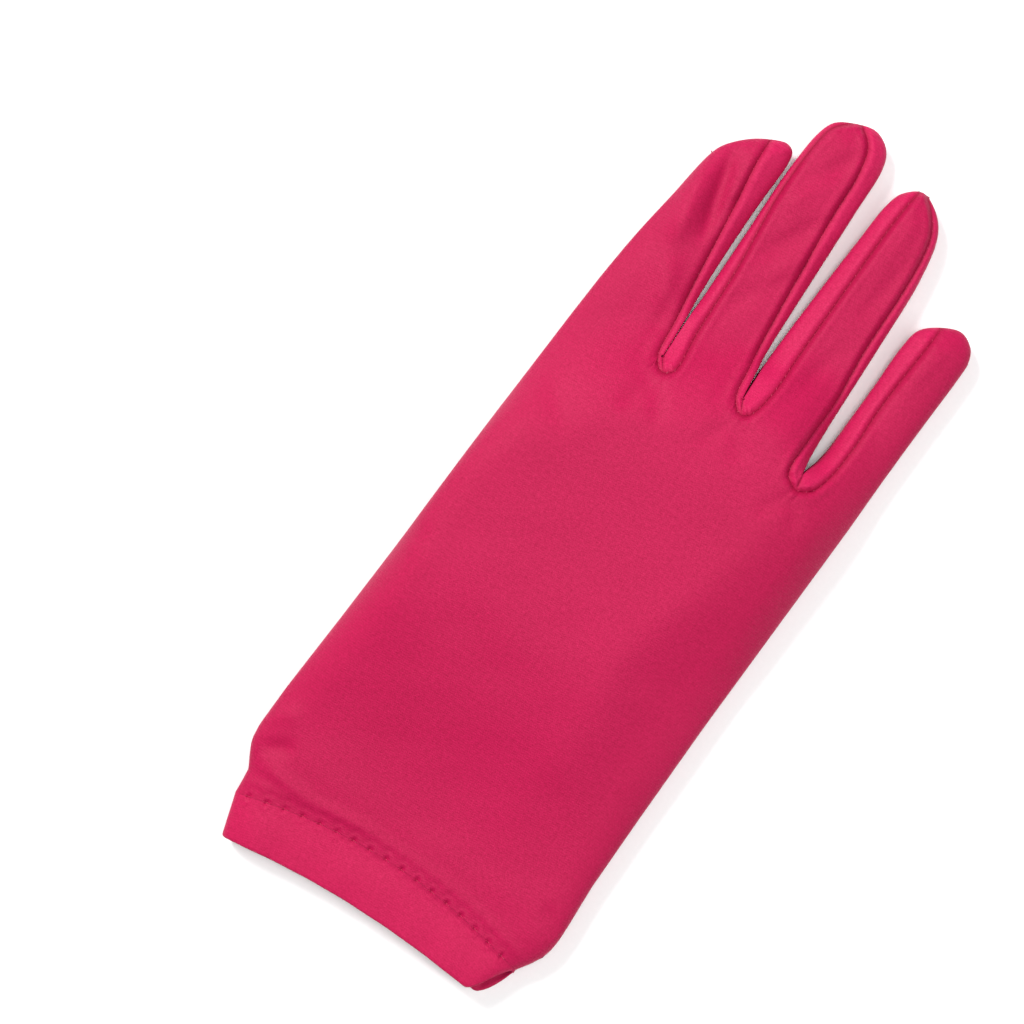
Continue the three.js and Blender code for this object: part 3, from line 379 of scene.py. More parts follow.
def fold_height(places):
    total = np.zeros(len(places))
    for ax, ay, bx, by, width, height in FOLDS:
        a, run = np.array([ax, ay]), np.array([bx - ax, by - ay])
        share = ((places - a) @ run) / (run @ run)
        gap = np.linalg.norm(places - a - np.clip(share, 0, 1)[:, None] * run, axis=1)
        fade = smooth(FOLD_END + FOLD_FADE * share) * smooth(FOLD_END + FOLD_FADE * (1 - share))
        total += height * fade * bell(gap, width)
    return total


WAVES = [(0.11, 0.05, 0.4, 0.10), (-0.06, 0.13, 1.9, 0.09), (0.19, -0.12, 3.1, 0.06), (0.23, 0.21, 0.7, 0.05),
         (-0.34, 0.12, 2.6, 0.035), (0.08, -0.31, 5.2, 0.04), (0.47, 0.22, 1.1, 0.02), (-0.29, 0.52, 4.4, 0.02)]
DRIFT, DRIFT_RATE = 1.3, 0.045


def unevenness(places):
    x, y = places.T
    return sum(height * np.sin(a * x + b * y + turn + DRIFT * np.sin(DRIFT_RATE * y + turn))
               for a, b, turn, height in WAVES)


print(len(FOLDS), "folds,", len(WAVES), "slow waves")

# %% [markdown]
# The seams are where the panels meet the side strips, called fourchettes. Each runs from the bottom of the U in
# the crotch up the finger and over to its outline. Both faces have one. A round U needs many points, so it is one
# smooth curve through both fingers' seams. The web line is the short seam in the crotch that joins two strips.

# %% Seam lines
U_HEIGHT = 2
U_HALF, U_LIFT = 1.15, 0.35


def tip_span(f):
    ends = []
    for side in ("left", "right"):
        turn = FINGERS[f]["turn"].get(side)
        along, across = turn if turn else FINGERS[f]["seams"][side][-1][:2]
        ends.append(outlines[f].nearest(finger_place(f, along, across)))
    return ends


def seam_rows(f, side, face):
    crotch = crotch_places[f - 1 if side == "left" else f]
    column = 1 if face == "back" else 2
    rows = FINGERS[f]["seams"][side][:-1]
    corner = finger_place(f, rows[0][0], rows[0][column])
    corner = (corner[0], max(corner[1], crotch[face] + U_HEIGHT))
    end = outlines[f].at(tip_span(f)[0 if side == "left" else 1])
    return [corner] + [finger_place(f, row[0], row[column]) for row in rows[1:]] + [tuple(end)]


def crotch_curve(i, face):
    place = crotch_places[i]
    left, right = seam_rows(i, "right", face), seam_rows(i + 1, "left", face)
    bottom = (place["x"], place[face])
    near = [(bottom[0] - U_HALF, bottom[1] + U_LIFT), bottom, (bottom[0] + U_HALF, bottom[1] + U_LIFT)]
    return PlanCurve(left[::-1] + near + right), len(left)


seam_curves = {}
for i in range(3):
    for face in ("back", "palm"):
        curve, _ = crotch_curve(i, face)
        bottom = curve.nearest((crotch_places[i]["x"], crotch_places[i][face]))
        seam_curves[i, face] = (curve, bottom)
SEAM_LINES = {face: [seam_curves[i, face][0].at(np.linspace(0, 1, 240)) for i in range(3)]
              for face in ("back", "palm")}
WEB_LINES = [np.array([[p["x"], p["back"]], [ROOTS[i]["right"] + FINGER_GAP / 2, p["end"]]])
             for i, p in enumerate(crotch_places)]
print("seam lengths, mm:", [round(seam_curves[i, "back"][0].length) for i in range(3)])

# %% [markdown]
# A sewn seam pulls the two cloths down into a narrow groove, and the cloth beside it puffs up and puckers between
# the stitches. The groove is a function of the distance to the seam, so every cloth edge that meets there gets the
# same one and the pieces stay joined to the eye.

# %% Grooves and puckers beside the seams
GROOVE, GROOVE_WIDTH = 0.8, 0.72
PUFF, PUFF_AT, PUFF_WIDTH = 0.3, 1.6, 1.0
PUCKER, PUCKER_PITCH, PUCKER_WIDTH = 0.75, 2.7, 1.9
WANDER, WANDER_RATE = 0.5, 0.9
WEB_GROOVE, WEB_GROOVE_WIDTH, WEB_REACH = 0.6, 0.55, 2.6
WRINKLES, WRINKLE, WRINKLE_TWIST = 9, 0.22, 0.6
WRINKLE_FOOT, WRINKLE_AT, WRINKLE_WIDTH = 1.4, 3.0, 1.5
# Width of the painted shade along a seam, and strength and width of the painted shade along a web line.
DARK_WIDTH, WEB_DARK, WEB_DARK_WIDTH = 0.5, 0.8, 0.4


def seam_relief(places, face):
    sink, puff = np.zeros(len(places)), np.zeros(len(places))
    for line in SEAM_LINES[face]:
        gap, along, _ = to_line(places, line)
        wander = along + WANDER * np.sin(along * WANDER_RATE)
        pucker = 1 + PUCKER * np.sin(2 * np.pi * wander / PUCKER_PITCH) * bell(gap, PUCKER_WIDTH)
        sink = np.maximum(sink, GROOVE * bell(gap, GROOVE_WIDTH))
        puff += PUFF * pucker * bell(gap - PUFF_AT, PUFF_WIDTH)
    for i, line in enumerate(WEB_LINES):
        gap, along, _ = to_line(places, line)
        sink = np.maximum(sink, WEB_GROOVE * bell(gap, WEB_GROOVE_WIDTH) * smooth(2 - along / WEB_REACH))
        away = places - np.array([crotch_places[i]["x"], crotch_places[i][face] + WRINKLE_FOOT])
        far, turn = np.hypot(*away.T), np.arctan2(away[:, 1], away[:, 0])
        puff += WRINKLE * np.sin(WRINKLES * turn + i + WRINKLE_TWIST * far) * bell(far - WRINKLE_AT, WRINKLE_WIDTH)
    return puff - sink


def seam_thread_and_painted_shade(places, face):
    """How near a seam lies, 1 on it and fading within a millimetre: the cloth is painted darker there, mostly as
    painted shade in the seam's groove and partly standing in for the thread.
    """
    total = np.zeros(len(places))
    for line in SEAM_LINES[face]:
        total = np.maximum(total, bell(to_line(places, line)[0], DARK_WIDTH))
    for line in WEB_LINES:
        gap, along, _ = to_line(places, line)
        total = np.maximum(total, WEB_DARK * bell(gap, WEB_DARK_WIDTH) * smooth(2 - along / WEB_REACH))
    return total


print("on a seam:", seam_thread_and_painted_shade(SEAM_LINES["back"][0][100:101], "back").round(2))

# %% [markdown]
# The hem is caught down by a row of hidden stitches that runs round the cuff in a shallow bow. From outside only a
# dimple shows at each one, with a low crest of cloth above the row, so the row is a function of the place too.

# %% The row of dimples
def hem_level(x):
    return STITCH_LEVEL + STITCH_BOW * (1 - ((x - CUFF_MIDDLE) / (CUFF_WIDTH / 2)) ** 2)


def cuff_level(x):
    return STITCH_LEVEL + STITCH_BOW - HEM_DEPTH - HEM_BOW * ((x - CUFF_MIDDLE) / (CUFF_WIDTH / 2)) ** 2


STITCH_COUNT, STITCH_PITCH = 17, 4.6
STITCH_START, STITCH_STOP = -38.6, 35.5
DIMPLE, DIMPLE_WIDTH, DIMPLE_SHAPE = 0.62, 0.56, (0.8, 1.15)
RING, RING_AT, RING_WIDTH = 0.2, 1.3, 0.5
PULL, PULL_AT, PULL_WIDTH = 0.12, 1.6, 2.2
CREST, CREST_AT, CREST_WIDTH = 0.3, 3.6, 1.6


def hem_relief(places):
    x, y = places.T
    gap = y - hem_level(x)
    phase = (x - STITCH_START) / STITCH_PITCH
    off = (phase - np.round(phase)) * STITCH_PITCH
    there = smooth((x - STITCH_START) / 2 + 1) * smooth((STITCH_STOP - x) / 2 + 0.5)
    far = np.hypot(off / DIMPLE_SHAPE[0], gap / DIMPLE_SHAPE[1])
    dimple = DIMPLE * bell(far, DIMPLE_WIDTH) - RING * bell(far - RING_AT, RING_WIDTH)
    pull = PULL * np.cos(2 * np.pi * phase) * bell(gap - PULL_AT, PULL_WIDTH)
    return CREST * bell(gap - CREST_AT, CREST_WIDTH) - (dimple + pull) * there


print("hem level at the middle of the cuff:", round(float(hem_level(0)), 2), "mm")

# %% [markdown]
# Cloth pieces are grids of places. A panel is one grid over the hand whose columns run on into the fingers, so the
# cloth has no seam where the real one has none. The border places follow the seam lines, moved aside by half a gap,
# and the rows crowd towards a fingertip, where the cloth turns down quickly.

# %% Places of a finger's face
FINGER_ROWS = 66
SPREADS = {"index": 40, "middle": 34, "ring": 34, "little": 34}
U_POINTS = 13
TIP_CROWDING, EDGE_CROWDING, TOP_PULL = 1.5, 1.7, 4
SMALL_SHARE = 0.004


def tip_crowded(count):
    return 1 - (1 - np.linspace(0, 1, count + 1)) ** TIP_CROWDING


def between(left, right, spread):
    """A grid of places spread from one border line to the other."""
    return left[:, None] + (right - left)[:, None] * spread[None, :, None]


def seam_border(i, face, start, stop, shares, outwards):
    """Places along crotch i's seam between two shares of it, moved to the strip's side or the panel's."""
    curve = seam_curves[i, face][0]
    s = start + (stop - start) * shares
    ahead, behind = curve.at(np.clip(s + SMALL_SHARE, 0, 1)), curve.at(np.clip(s - SMALL_SHARE, 0, 1))
    run = ahead - behind
    right = np.stack([run[:, 1], -run[:, 0]], axis=1) / np.linalg.norm(run, axis=1)[:, None]
    return curve.at(s) + right * (-SEAM_GAP / 2 if outwards else SEAM_GAP / 2)


def corner_shares(i, face):
    curve = seam_curves[i, face][0]
    return curve.nearest(seam_rows(i, "right", face)[0]), curve.nearest(seam_rows(i + 1, "left", face)[0])


def finger_border(f, side, face):
    shares = tip_crowded(FINGER_ROWS)
    span = tip_span(f)
    left = side == "left"
    if side not in FINGERS[f]["seams"]:
        return outlines[f].at(span[0] * shares if left else 1 + (span[1] - 1) * shares)
    i = f - 1 if left else f
    return seam_border(i, face, corner_shares(i, face)[int(left)], int(left), shares, False)


def finger_places(f, face):
    left, right = finger_border(f, "left", face), finger_border(f, "right", face)
    name = FINGERS[f]["name"]
    spread = np.linspace(0, 1, SPREADS[name] + 1)
    if name == "index":
        spread = spread ** EDGE_CROWDING
    if name == "little":
        spread = 1 - (1 - spread) ** EDGE_CROWDING
    span, gap = tip_span(f), SEAM_GAP / 2 / outlines[f].length
    start = span[0] + (gap if "left" in FINGERS[f]["seams"] else 0)
    stop = span[1] - (gap if "right" in FINGERS[f]["seams"] else 0)
    top = outlines[f].at(start + (stop - start) * spread)
    straight = left[-1] + (right[-1] - left[-1]) * spread[:, None]
    pull = smooth(np.linspace(0, 1, FINGER_ROWS + 1)) ** TOP_PULL
    places = between(left, right, spread) + (top - straight)[None] * pull[:, None, None]
    rim = np.zeros(places.shape[:2], bool)
    rim[-1] = True
    rim[:, 0] = rim[:, 0] | ("left" not in FINGERS[f]["seams"])
    rim[:, -1] = rim[:, -1] | ("right" not in FINGERS[f]["seams"])
    return places, rim


print("index finger face:", finger_places(0, "back")[0].shape)

# %% [markdown]
# Now the hand. Its lowest row lies on the hem's stitches, a middle row lies on the thumb's mouth, and the top row
# runs through every finger root and round each U. On the palm the cells across the mouth are left out.

# %% Places of a whole panel
LOWER = np.unique(np.concatenate([np.linspace(0, 0.05, 13), np.linspace(0.05, 0.1, 6), np.linspace(0.1, 1, 46)]))
UPPER = np.linspace(0, 1, 46)[:-1]


def panel_places(face):
    fingers = [finger_places(f, face) for f in range(4)]
    knuckles, owner, rim = [], [], []
    for f, (places, finger_rim) in enumerate(fingers):
        knuckles += list(places[0])
        owner += [f] * places.shape[1]
        rim += list(finger_rim[0])
        if f < 3:
            left_corner, right_corner = corner_shares(f, face)
            inner = np.linspace(0, 1, U_POINTS + 2)[1:-1]
            knuckles += list(seam_border(f, face, left_corner, right_corner, inner, False))
            owner += [-1] * U_POINTS
            rim += [False] * U_POINTS
    knuckles, owner, rim = np.array(knuckles), np.array(owner), np.array(rim)
    top = (knuckles[:, 0] - KNUCKLE_LEFT) / (KNUCKLE_RIGHT - KNUCKLE_LEFT)
    width = hand_edge("right", THUMB_MOUTH_LEVEL) - hand_edge("left", THUMB_MOUTH_LEVEL)
    start, stop = THUMB_MOUTH_LEFT / width, (THUMB_MOUTH_LEFT + THUMB_MOUTH) / width
    mouth = [int(np.argmin(np.abs(top - start))), int(np.argmin(np.abs(top - stop)))]
    middle = np.interp(top, [0, top[mouth[0]], top[mouth[1]], 1], [0, start, stop, 1])

    def row(low_share, high_share, low, high, v):
        y = low + (high - low) * v
        share = low_share + (high_share - low_share) * v
        left, right = hand_edge("left", y), hand_edge("right", y)
        return np.stack([left + (right - left) * share, y], axis=1)

    hem_line = np.full(len(top), STITCH_LEVEL)
    for _ in range(8):
        left, right = hand_edge("left", hem_line), hand_edge("right", hem_line)
        hem_line = hem_level(left + (right - left) * top) + SEAM_GAP / 2
    south = np.full(len(top), THUMB_MOUTH_LEVEL - SEAM_GAP / 2)
    north = np.full(len(top), THUMB_MOUTH_LEVEL + SEAM_GAP / 2)
    places = ([row(top, middle, hem_line, south, v) for v in LOWER]
              + [row(middle, top, north, knuckles[:, 1], v) for v in UPPER] + [knuckles])
    edge = np.zeros(len(top), bool)
    edge[[0, -1]] = True
    rims = [edge] * len(places)
    for j in range(1, FINGER_ROWS + 1):
        finger_row, row_rim = np.full((len(top), 2), np.nan), np.zeros(len(top), bool)
        for f, (finger, finger_rim) in enumerate(fingers):
            finger_row[owner == f], row_rim[owner == f] = finger[j], finger_rim[j]
        places.append(finger_row)
        rims.append(row_rim)
    norths = np.repeat((np.arange(len(places)) >= len(LOWER))[:, None], len(top), axis=1)
    has = np.ones((len(places) - 1, len(top) - 1), bool)
    has[len(LOWER) + len(UPPER):] = (owner[:-1] >= 0) & (owner[:-1] == owner[1:])
    if face == "palm":
        has[len(LOWER) - 1, mouth[0]:mouth[1]] = False
    return np.array(places), np.array(rims), norths, has


print("back panel cells:", int(panel_places("back")[3].sum()))

# %% [markdown]
# A grid becomes a mesh whose faces carry two cloth coordinates, in millimetres across and along the knit. They are
# measured on the cloth itself, not in plan, so the knit keeps its size where the cloth turns over an edge. The mesh
# also keeps how near a seam each point lies, for the painted shade that darkens its colour there. The wall is then
# added with Solidify, inwards, and it thins out where a side strip ends in a point.

# %% From a grid to a cloth mesh
SHARP_TURN = 50


def cloth_mesh(name, points, has, across, along, flip=False, round_on=False, seam=None):
    rows, columns = points.shape[:2]
    there = ~np.isnan(points[..., 0])
    number = np.full((rows, columns), -1)
    number[there] = np.arange(there.sum())
    faces, corners = [], []
    for j in range(rows - 1):
        for k in range(columns if round_on else columns - 1):
            n = (k + 1) % columns
            if not has[j, k]:
                continue
            quad = [(j, k), (j, n), (j + 1, n), (j + 1, k)]
            wrap = [columns if n == 0 and column == 0 else column for _, column in quad]
            if flip:
                quad, wrap = quad[::-1], wrap[::-1]
            faces.append([int(number[q]) for q in quad])
            corners += [(q[0], w) for q, w in zip(quad, wrap)]
    mesh = bpy.data.meshes.new(name)
    mesh.from_pydata((points[there] + ORIGIN) * MM, [], faces)
    corners = np.array(corners)
    uv = mesh.uv_layers.new(name="cloth")
    values = np.stack([across[corners[:, 0], corners[:, 1]], along[corners[:, 0], corners[:, 1] % columns]], axis=1)
    uv.data.foreach_set("uv", values.astype(np.float32).ravel())
    # The seam attribute is painted shade: it darkens the cloth's colour near a seam, mostly for the shade in its
    # groove.
    if seam is not None:
        near = mesh.attributes.new("seam", "FLOAT", "POINT")
        near.data.foreach_set("value", seam[there].astype(np.float32))
    mesh.validate()
    mesh.update()
    return mesh


def reach_across(points):
    """How far each point lies along its row, measured on the cloth."""
    step = np.linalg.norm(np.diff(points, axis=1), axis=2)
    return np.concatenate([np.zeros((len(points), 1)), np.cumsum(step, axis=1)], axis=1)


def reach_around(points):
    return reach_across(np.concatenate([points, points[:, :1]], axis=1))


def placed(name, data):
    piece = bpy.data.objects.new(name, data)
    bpy.context.scene.collection.objects.link(piece)
    return piece


def with_modifiers(piece):
    return bpy.data.meshes.new_from_object(piece.evaluated_get(bpy.context.evaluated_depsgraph_get()))


def welded(mesh, reach):
    """The mesh with the points joined that lie within reach of each other."""
    piece = placed("weld", mesh)
    piece.modifiers.new("weld", "WELD").merge_threshold = reach
    joined = with_modifiers(piece)
    bpy.data.objects.remove(piece)
    return joined


def finished(name, mesh, wall, thin_end=None):
    """The sheet as an object with its thickness laid inwards, turned into a plain mesh."""
    sheet = placed(name, mesh)
    if wall:
        solid = sheet.modifiers.new("wall", "SOLIDIFY")
        solid.thickness = wall * MM
        solid.offset = -1
    if thin_end is not None:
        group = sheet.vertex_groups.new(name="wall")
        for number, share in enumerate(thin_end):
            group.add([number], float(share), "REPLACE")
        solid.vertex_group = "wall"
    plain = with_modifiers(sheet)
    plain.name = name
    for vertex in plain.vertices:
        vertex.co.z = max(vertex.co.z, 0)
    sheet.modifiers.clear()
    sheet.vertex_groups.clear()
    sheet.data = plain
    plain.shade_smooth()
    plain.set_sharp_from_angle(angle=math.radians(SHARP_TURN))
    return sheet


print("reach along a test row:", reach_across(np.array([[(0, 0, 0), (3, 4, 0), (3, 4, 2)]])))

# %% [markdown]
# Laying the cloth puts all of this together: the skin's height over each plan place, the folds, and the grooves and
# puckers, which fade at the rim. The palm's cloth never goes below the table.

# %% Lay the cloth over its places
RELIEF_REACH = 1.6


def relief(places, face):
    extra = seam_relief(places, face) + hem_relief(places)
    return extra + unevenness(places) if face == "back" else extra


def lay(places, face, north, rim):
    """The 3D points of the skin over plan places of any shape, with every groove and fold on them."""
    flat = places.reshape(-1, 2)
    there = ~np.isnan(flat[:, 0])
    spots, up, edge = flat[there], north.reshape(-1)[there], rim.reshape(-1)[there]
    folds = fold_height(spots) if face == "back" else np.zeros(len(spots))
    z = skin_height(spots, face, up, edge, folds)
    inside = edge_rise(np.where(edge, 0, to_line(spots, GLOVE_LINE)[0]) * RELIEF_REACH)
    change = relief(spots, face) * inside
    z = z + change if face == "back" else np.maximum(z - change, 0)
    points = np.full((len(flat), 3), np.nan)
    points[there] = np.column_stack([spots, z])
    return points.reshape(places.shape[:-1] + (3,))


print("the back's skin at two test places:", lay(test, "back", np.array([False, True]), np.zeros(2, bool)).round(2))

# %% [markdown]
# The panels are the first pieces: the cloth over the back of the hand and the backs of the four fingers, and the
# same cut from the palm's side, with the opening for the thumb. Each is one sheet of knit, so each is one mesh, and
# its knit is stretched round the outer edges, where the cloth turns down.

# %% The back and palm panels
EDGE_BAND, EDGE_STRETCH = 9, 0.9


def make_panel(name, face):
    places, rims, norths, has = panel_places(face)
    points = lay(places, face, norths, rims)
    flat = np.nan_to_num(places.reshape(-1, 2))
    drop = np.abs(points[..., 2] - np.nanmax(points[..., 2], axis=1, keepdims=True))
    near = {}
    for side, curve, span in (("left", outlines[0], (0, 0.45)), ("right", outlines[3], (1, 0.55))):
        level = ROOTS[0 if side == "left" else 3]["level"]
        line = np.vstack([edge_line(side, level), curve.at(np.linspace(*span, 60))])
        near[side] = (1 - smooth(to_line(flat, line)[0] / EDGE_BAND)).reshape(places.shape[:2])
    across = points[..., 0] + EDGE_STRETCH * drop * (near["right"] - near["left"])
    # Painted shade: how near a seam each place lies, for the darker tone painted in the seam's groove.
    seam = seam_thread_and_painted_shade(flat, face).reshape(places.shape[:2])
    mesh = cloth_mesh(name, points, has, across, points[..., 1], flip=face == "palm", seam=seam)
    return finished(name, mesh, CLOTH)


back = make_panel("back_cloth", "back")
palm = make_panel("palm_cloth", "palm")
print("back:", len(back.data.polygons), "faces; palm:", len(palm.data.polygons), "faces")

# %% [markdown]
# A fourchette is the narrow strip between two fingers. It starts at the back's seam, turns over the finger's side
# and ends at the palm's seam. Two of them meet in each crotch, where a short seam joins them.

# %% The six side strips
STRIP_HALF, STRIP_CROWDING = 13, 1.6
U_ROWS, U_RIM = 12, 1.2
THIN_ROWS = 7


def make_strip(f, side):
    left = int(side == "left")
    i, turn = f - left, 2 * left - 1
    curve = outlines[f]
    start, stop, reach = 1.0 - left, tip_span(f)[1 - left], turn * U_RIM / curve.length
    u_shares, tip_shares = np.linspace(0, 1, U_ROWS, endpoint=False), tip_crowded(FINGER_ROWS)
    rim_places = curve.at(np.concatenate([start + reach * u_shares,
                                          start + reach + (stop - start - reach) * tip_shares]))
    halves, shade = {}, {}
    for face in ("back", "palm"):
        bottom, corner = seam_curves[i, face][1], corner_shares(i, face)[left]
        border = np.vstack([seam_border(i, face, bottom, corner, u_shares, True),
                            seam_border(i, face, corner, left, tip_shares, True)])
        border[-1] = curve.at(stop - turn * SEAM_GAP / curve.length)
        places = between(rim_places, border, np.linspace(0, 1, STRIP_HALF + 1) ** STRIP_CROWDING)
        rim = np.zeros(places.shape[:2], bool)
        rim[:, 0] = True
        halves[face] = lay(places, face, np.ones(rim.shape, bool), rim)
        # Painted shade: how near a seam each place lies, for the darker tone painted in the seam's groove.
        shade[face] = seam_thread_and_painted_shade(places.reshape(-1, 2), face).reshape(rim.shape)
    points = np.concatenate([halves["back"][:, ::-1], halves["palm"][:, 1:]], axis=1)
    seam = np.concatenate([shade["back"][:, ::-1], shade["palm"][:, 1:]], axis=1)
    across = reach_across(points)
    across = across - across[:, STRIP_HALF:STRIP_HALF + 1]
    has = np.ones((len(points) - 1, points.shape[1] - 1), bool)
    name = f"side_strip_{FINGERS[f]['name']}_{side}"
    mesh = cloth_mesh(name, points, has, across, points[..., 1], flip=side == "left", seam=seam)
    to_tip = np.arange(len(points))[::-1]
    return finished(name, mesh, CLOTH, np.repeat(smooth(to_tip / THIN_ROWS), points.shape[1]))


strips = {(f, side): make_strip(f, side) for f, finger in enumerate(FINGERS) for side in finger["seams"]}
print({s.name: len(s.data.polygons) for s in strips.values()})

# %% [markdown]
# The thumb is a bag of its own, folded flat under the palm. Its mouth is sewn into the opening in the palm. It is
# a tube of rows that closes in a tip, with the soft dents that an empty thumb has.

# %% The thumb
THUMB_ROWS, THUMB_COLUMNS = 76, 44
THUMB_CROWDING = 1.35
THUMB_SEAM, THUMB_SEAM_WIDTH = 0.45, 0.8
DENT_SLANT, DENT_LENGTH, DENT_TOP = 0.3, 1.6, 0.6
THUMB_DENTS = [(0.25, 0.4, 7, 1.0), (0.5, 0.62, 6, 0.7), (0.72, 0.35, 5, 0.6), (0.42, 0.2, 5, -0.35),
               (0.8, 0.7, 4, -0.3)]


def make_thumb():
    shares = 1 - (1 - np.linspace(0, 1, THUMB_ROWS + 1)[:-1]) ** THUMB_CROWDING
    left, right = thumb_sides["left"].at(shares), thumb_sides["right"].at(shares)
    spread = (1 - np.cos(np.pi * np.linspace(0, 1, THUMB_COLUMNS + 1))) / 2
    places = between(left, right, spread)
    depth = to_line(places.reshape(-1, 2), THUMB_LINE)[0].reshape(places.shape[:2])
    depth[:, [0, -1]] = 0
    half = THUMB_HEIGHT / 2
    rise = edge_rise(depth)
    dents = np.zeros(places.shape[:2])
    for along, across, width, height in THUMB_DENTS:
        x = places[..., 0] - mouth_left - THUMB_MOUTH * (across + DENT_SLANT * along)
        y = places[..., 1] - THUMB_MOUTH_LEVEL - along * THUMB_REACH
        dents += height * bell(x, width) * bell(y, DENT_LENGTH * width)
    seam = THUMB_SEAM * bell(places[..., 1] - THUMB_MOUTH_LEVEL, THUMB_SEAM_WIDTH)
    top = half + half * rise - (DENT_TOP * dents + seam) * rise
    bottom = np.maximum(half - (half + FLOOR_PRESS) * rise + (np.maximum(dents, 0) + seam) * rise, 0)
    upper = np.concatenate([places, top[..., None]], axis=2)
    lower = np.concatenate([places, bottom[..., None]], axis=2)
    points = np.concatenate([upper, lower[:, -2:0:-1]], axis=1)
    ends = (thumb_sides["left"].at(1.0) + thumb_sides["right"].at(1.0)) / 2
    tip = np.full((1, points.shape[1], 3), [ends[0], ends[1], half])
    points = np.concatenate([points, tip])
    has = np.ones((len(points) - 1, points.shape[1]), bool)
    mesh = cloth_mesh("thumb_cloth", points, has, reach_around(points), points[..., 1], round_on=True)
    return finished("thumb_cloth", welded(mesh, 0.00002), CLOTH)


thumb = make_thumb()
print("thumb:", len(thumb.data.polygons), "faces")

# %% [markdown]
# The hem is the cuff's edge turned up inside and caught down with a row of hidden stitches. It is a double band, so
# its section is a long loop: down the outside, round the fold and up the inside. Near its right end the upper band
# is drawn back, and the glove stands a little open there.

# %% The hem
HEM_COLUMNS, HEM_ROWS, FOLD_ROWS = 200, 26, 7
HEM_CLOTH = 1.4
LIP_POWER, LIP_DROP, LIP_THIN, LIP_EDGE = 2.3, 0.9, 0.75, 3
HEM_LEAST = 0.8
HEM_SWELL, HEM_WAVE, HEM_WAVE_RATE = 0.3, 0.14, 0.55


def hem_skin(x, share, top, rim):
    low, high = cuff_level(x), hem_level(x) - SEAM_GAP / 2
    lip = smooth((x - (CUFF_RIGHT - LIP_DEPTH)) / LIP_DEPTH)
    under = np.clip((x - (CUFF_RIGHT - LIP_UNDER)) / LIP_UNDER, 0, 1) ** LIP_POWER
    lift = LIP_REACH * np.where(top, lip, under)
    y = high + (np.minimum(low + lift, high - HEM_LEAST) - high) * share
    spots = np.stack([x, y], axis=1)
    south = np.zeros(len(x), bool)
    z = np.where(top, lay(spots, "back", south, rim)[:, 2], lay(spots, "palm", south, rim)[:, 2])
    inwards = edge_rise(np.where(rim, 0, np.minimum(x - CUFF_LEFT, CUFF_RIGHT - x)))
    swell = (HEM_SWELL * np.sin(np.pi * share) + HEM_WAVE * np.sin(HEM_WAVE_RATE * x + 1) * share) * inwards
    z = z + np.where(top, swell - LIP_DROP * lip * share * inwards, LIP_CURL * under * share * share * inwards)
    narrow = np.maximum(CUFF_MIDDLE - x, 0) / (CUFF_WIDTH / 2) * HEM_TAPER * share
    return np.stack([x + narrow, y, z], axis=-1)


def make_hem():
    t = np.linspace(0, 1, HEM_COLUMNS + 1)
    x = CUFF_LEFT + CUFF_WIDTH * (1 - np.cos(np.pi * t)) / 2
    x = np.concatenate([x, x[-2:0:-1]])
    top = np.concatenate([np.ones(HEM_COLUMNS + 1, bool), np.zeros(HEM_COLUMNS - 1, bool)])
    rim = np.zeros(len(x), bool)
    rim[[0, HEM_COLUMNS]] = True
    outer = np.array([hem_skin(x, share, top, rim) for share in np.linspace(0, 1, HEM_ROWS)])
    around = np.roll(outer, -1, axis=1) - np.roll(outer, 1, axis=1)
    normal = np.cross(np.gradient(outer, axis=0), around)
    normal /= np.linalg.norm(normal, axis=2)[..., None]
    if normal[0, HEM_COLUMNS // 2, 2] < 0:
        normal = -normal
    wall = (HEM_CLOTH * (1 - LIP_THIN * smooth((x - (CUFF_RIGHT - LIP_EDGE)) / LIP_EDGE)))[:, None]
    inner = outer - normal * wall
    turns = np.linspace(0, np.pi, FOLD_ROWS + 2)[1:-1]
    centre = (outer[-1] + inner[-1]) / 2
    reach = (outer[-1] - inner[-1]) / 2
    outwards = outer[-1] - outer[-2]
    outwards = outwards / np.linalg.norm(outwards, axis=1)[:, None] * wall / 2
    fold = np.array([centre + reach * math.cos(a) + outwards * math.sin(a) for a in turns])
    loop = np.concatenate([outer, fold, inner[::-1], outer[:1]])
    along = -reach_across(loop.swapaxes(0, 1)).T
    has = np.ones((len(loop) - 1, loop.shape[1]), bool)
    mesh = cloth_mesh("hem_cloth", loop, has, reach_around(loop), along, flip=True, round_on=True)
    return finished("hem_cloth", welded(mesh, 0.000002), 0)


hem = make_hem()
print("hem:", len(hem.data.polygons), "faces")

# %% [markdown]
# Thread is what holds a glove together, and it repeats along every seam, so Geometry Nodes lay it. The tree takes a
# line, spaces points along it, puts one short rounded stitch on each, makes them real and gives them the finish.
# The stitches hardly stand proud, because here the thread has the cloth's own colour. Small helpers add a node, set
# its values and join it to the nodes before it.

# %% A tree that lays stitches along lines
def fill_in(tree, node, inputs):
    """Set a node's inputs to values, or join them to other nodes' outputs."""
    for socket, value in inputs.items():
        if isinstance(value, bpy.types.NodeSocket):
            tree.links.new(value, node.inputs[socket])
        else:
            node.inputs[socket].default_value = value


def add_node(tree, kind, inputs=None, **settings):
    """A new node with its settings and inputs; what it gives back is its outputs."""
    node = tree.nodes.new(kind)
    for name, value in settings.items():
        setattr(node, name, value)
    fill_in(tree, node, inputs or {})
    return node.outputs


def add_sockets(tree, way, rows):
    for title, kind, value in rows:
        socket = tree.interface.new_socket(title, in_out=way, socket_type="NodeSocket" + kind)
        if value is not None:
            socket.default_value = value


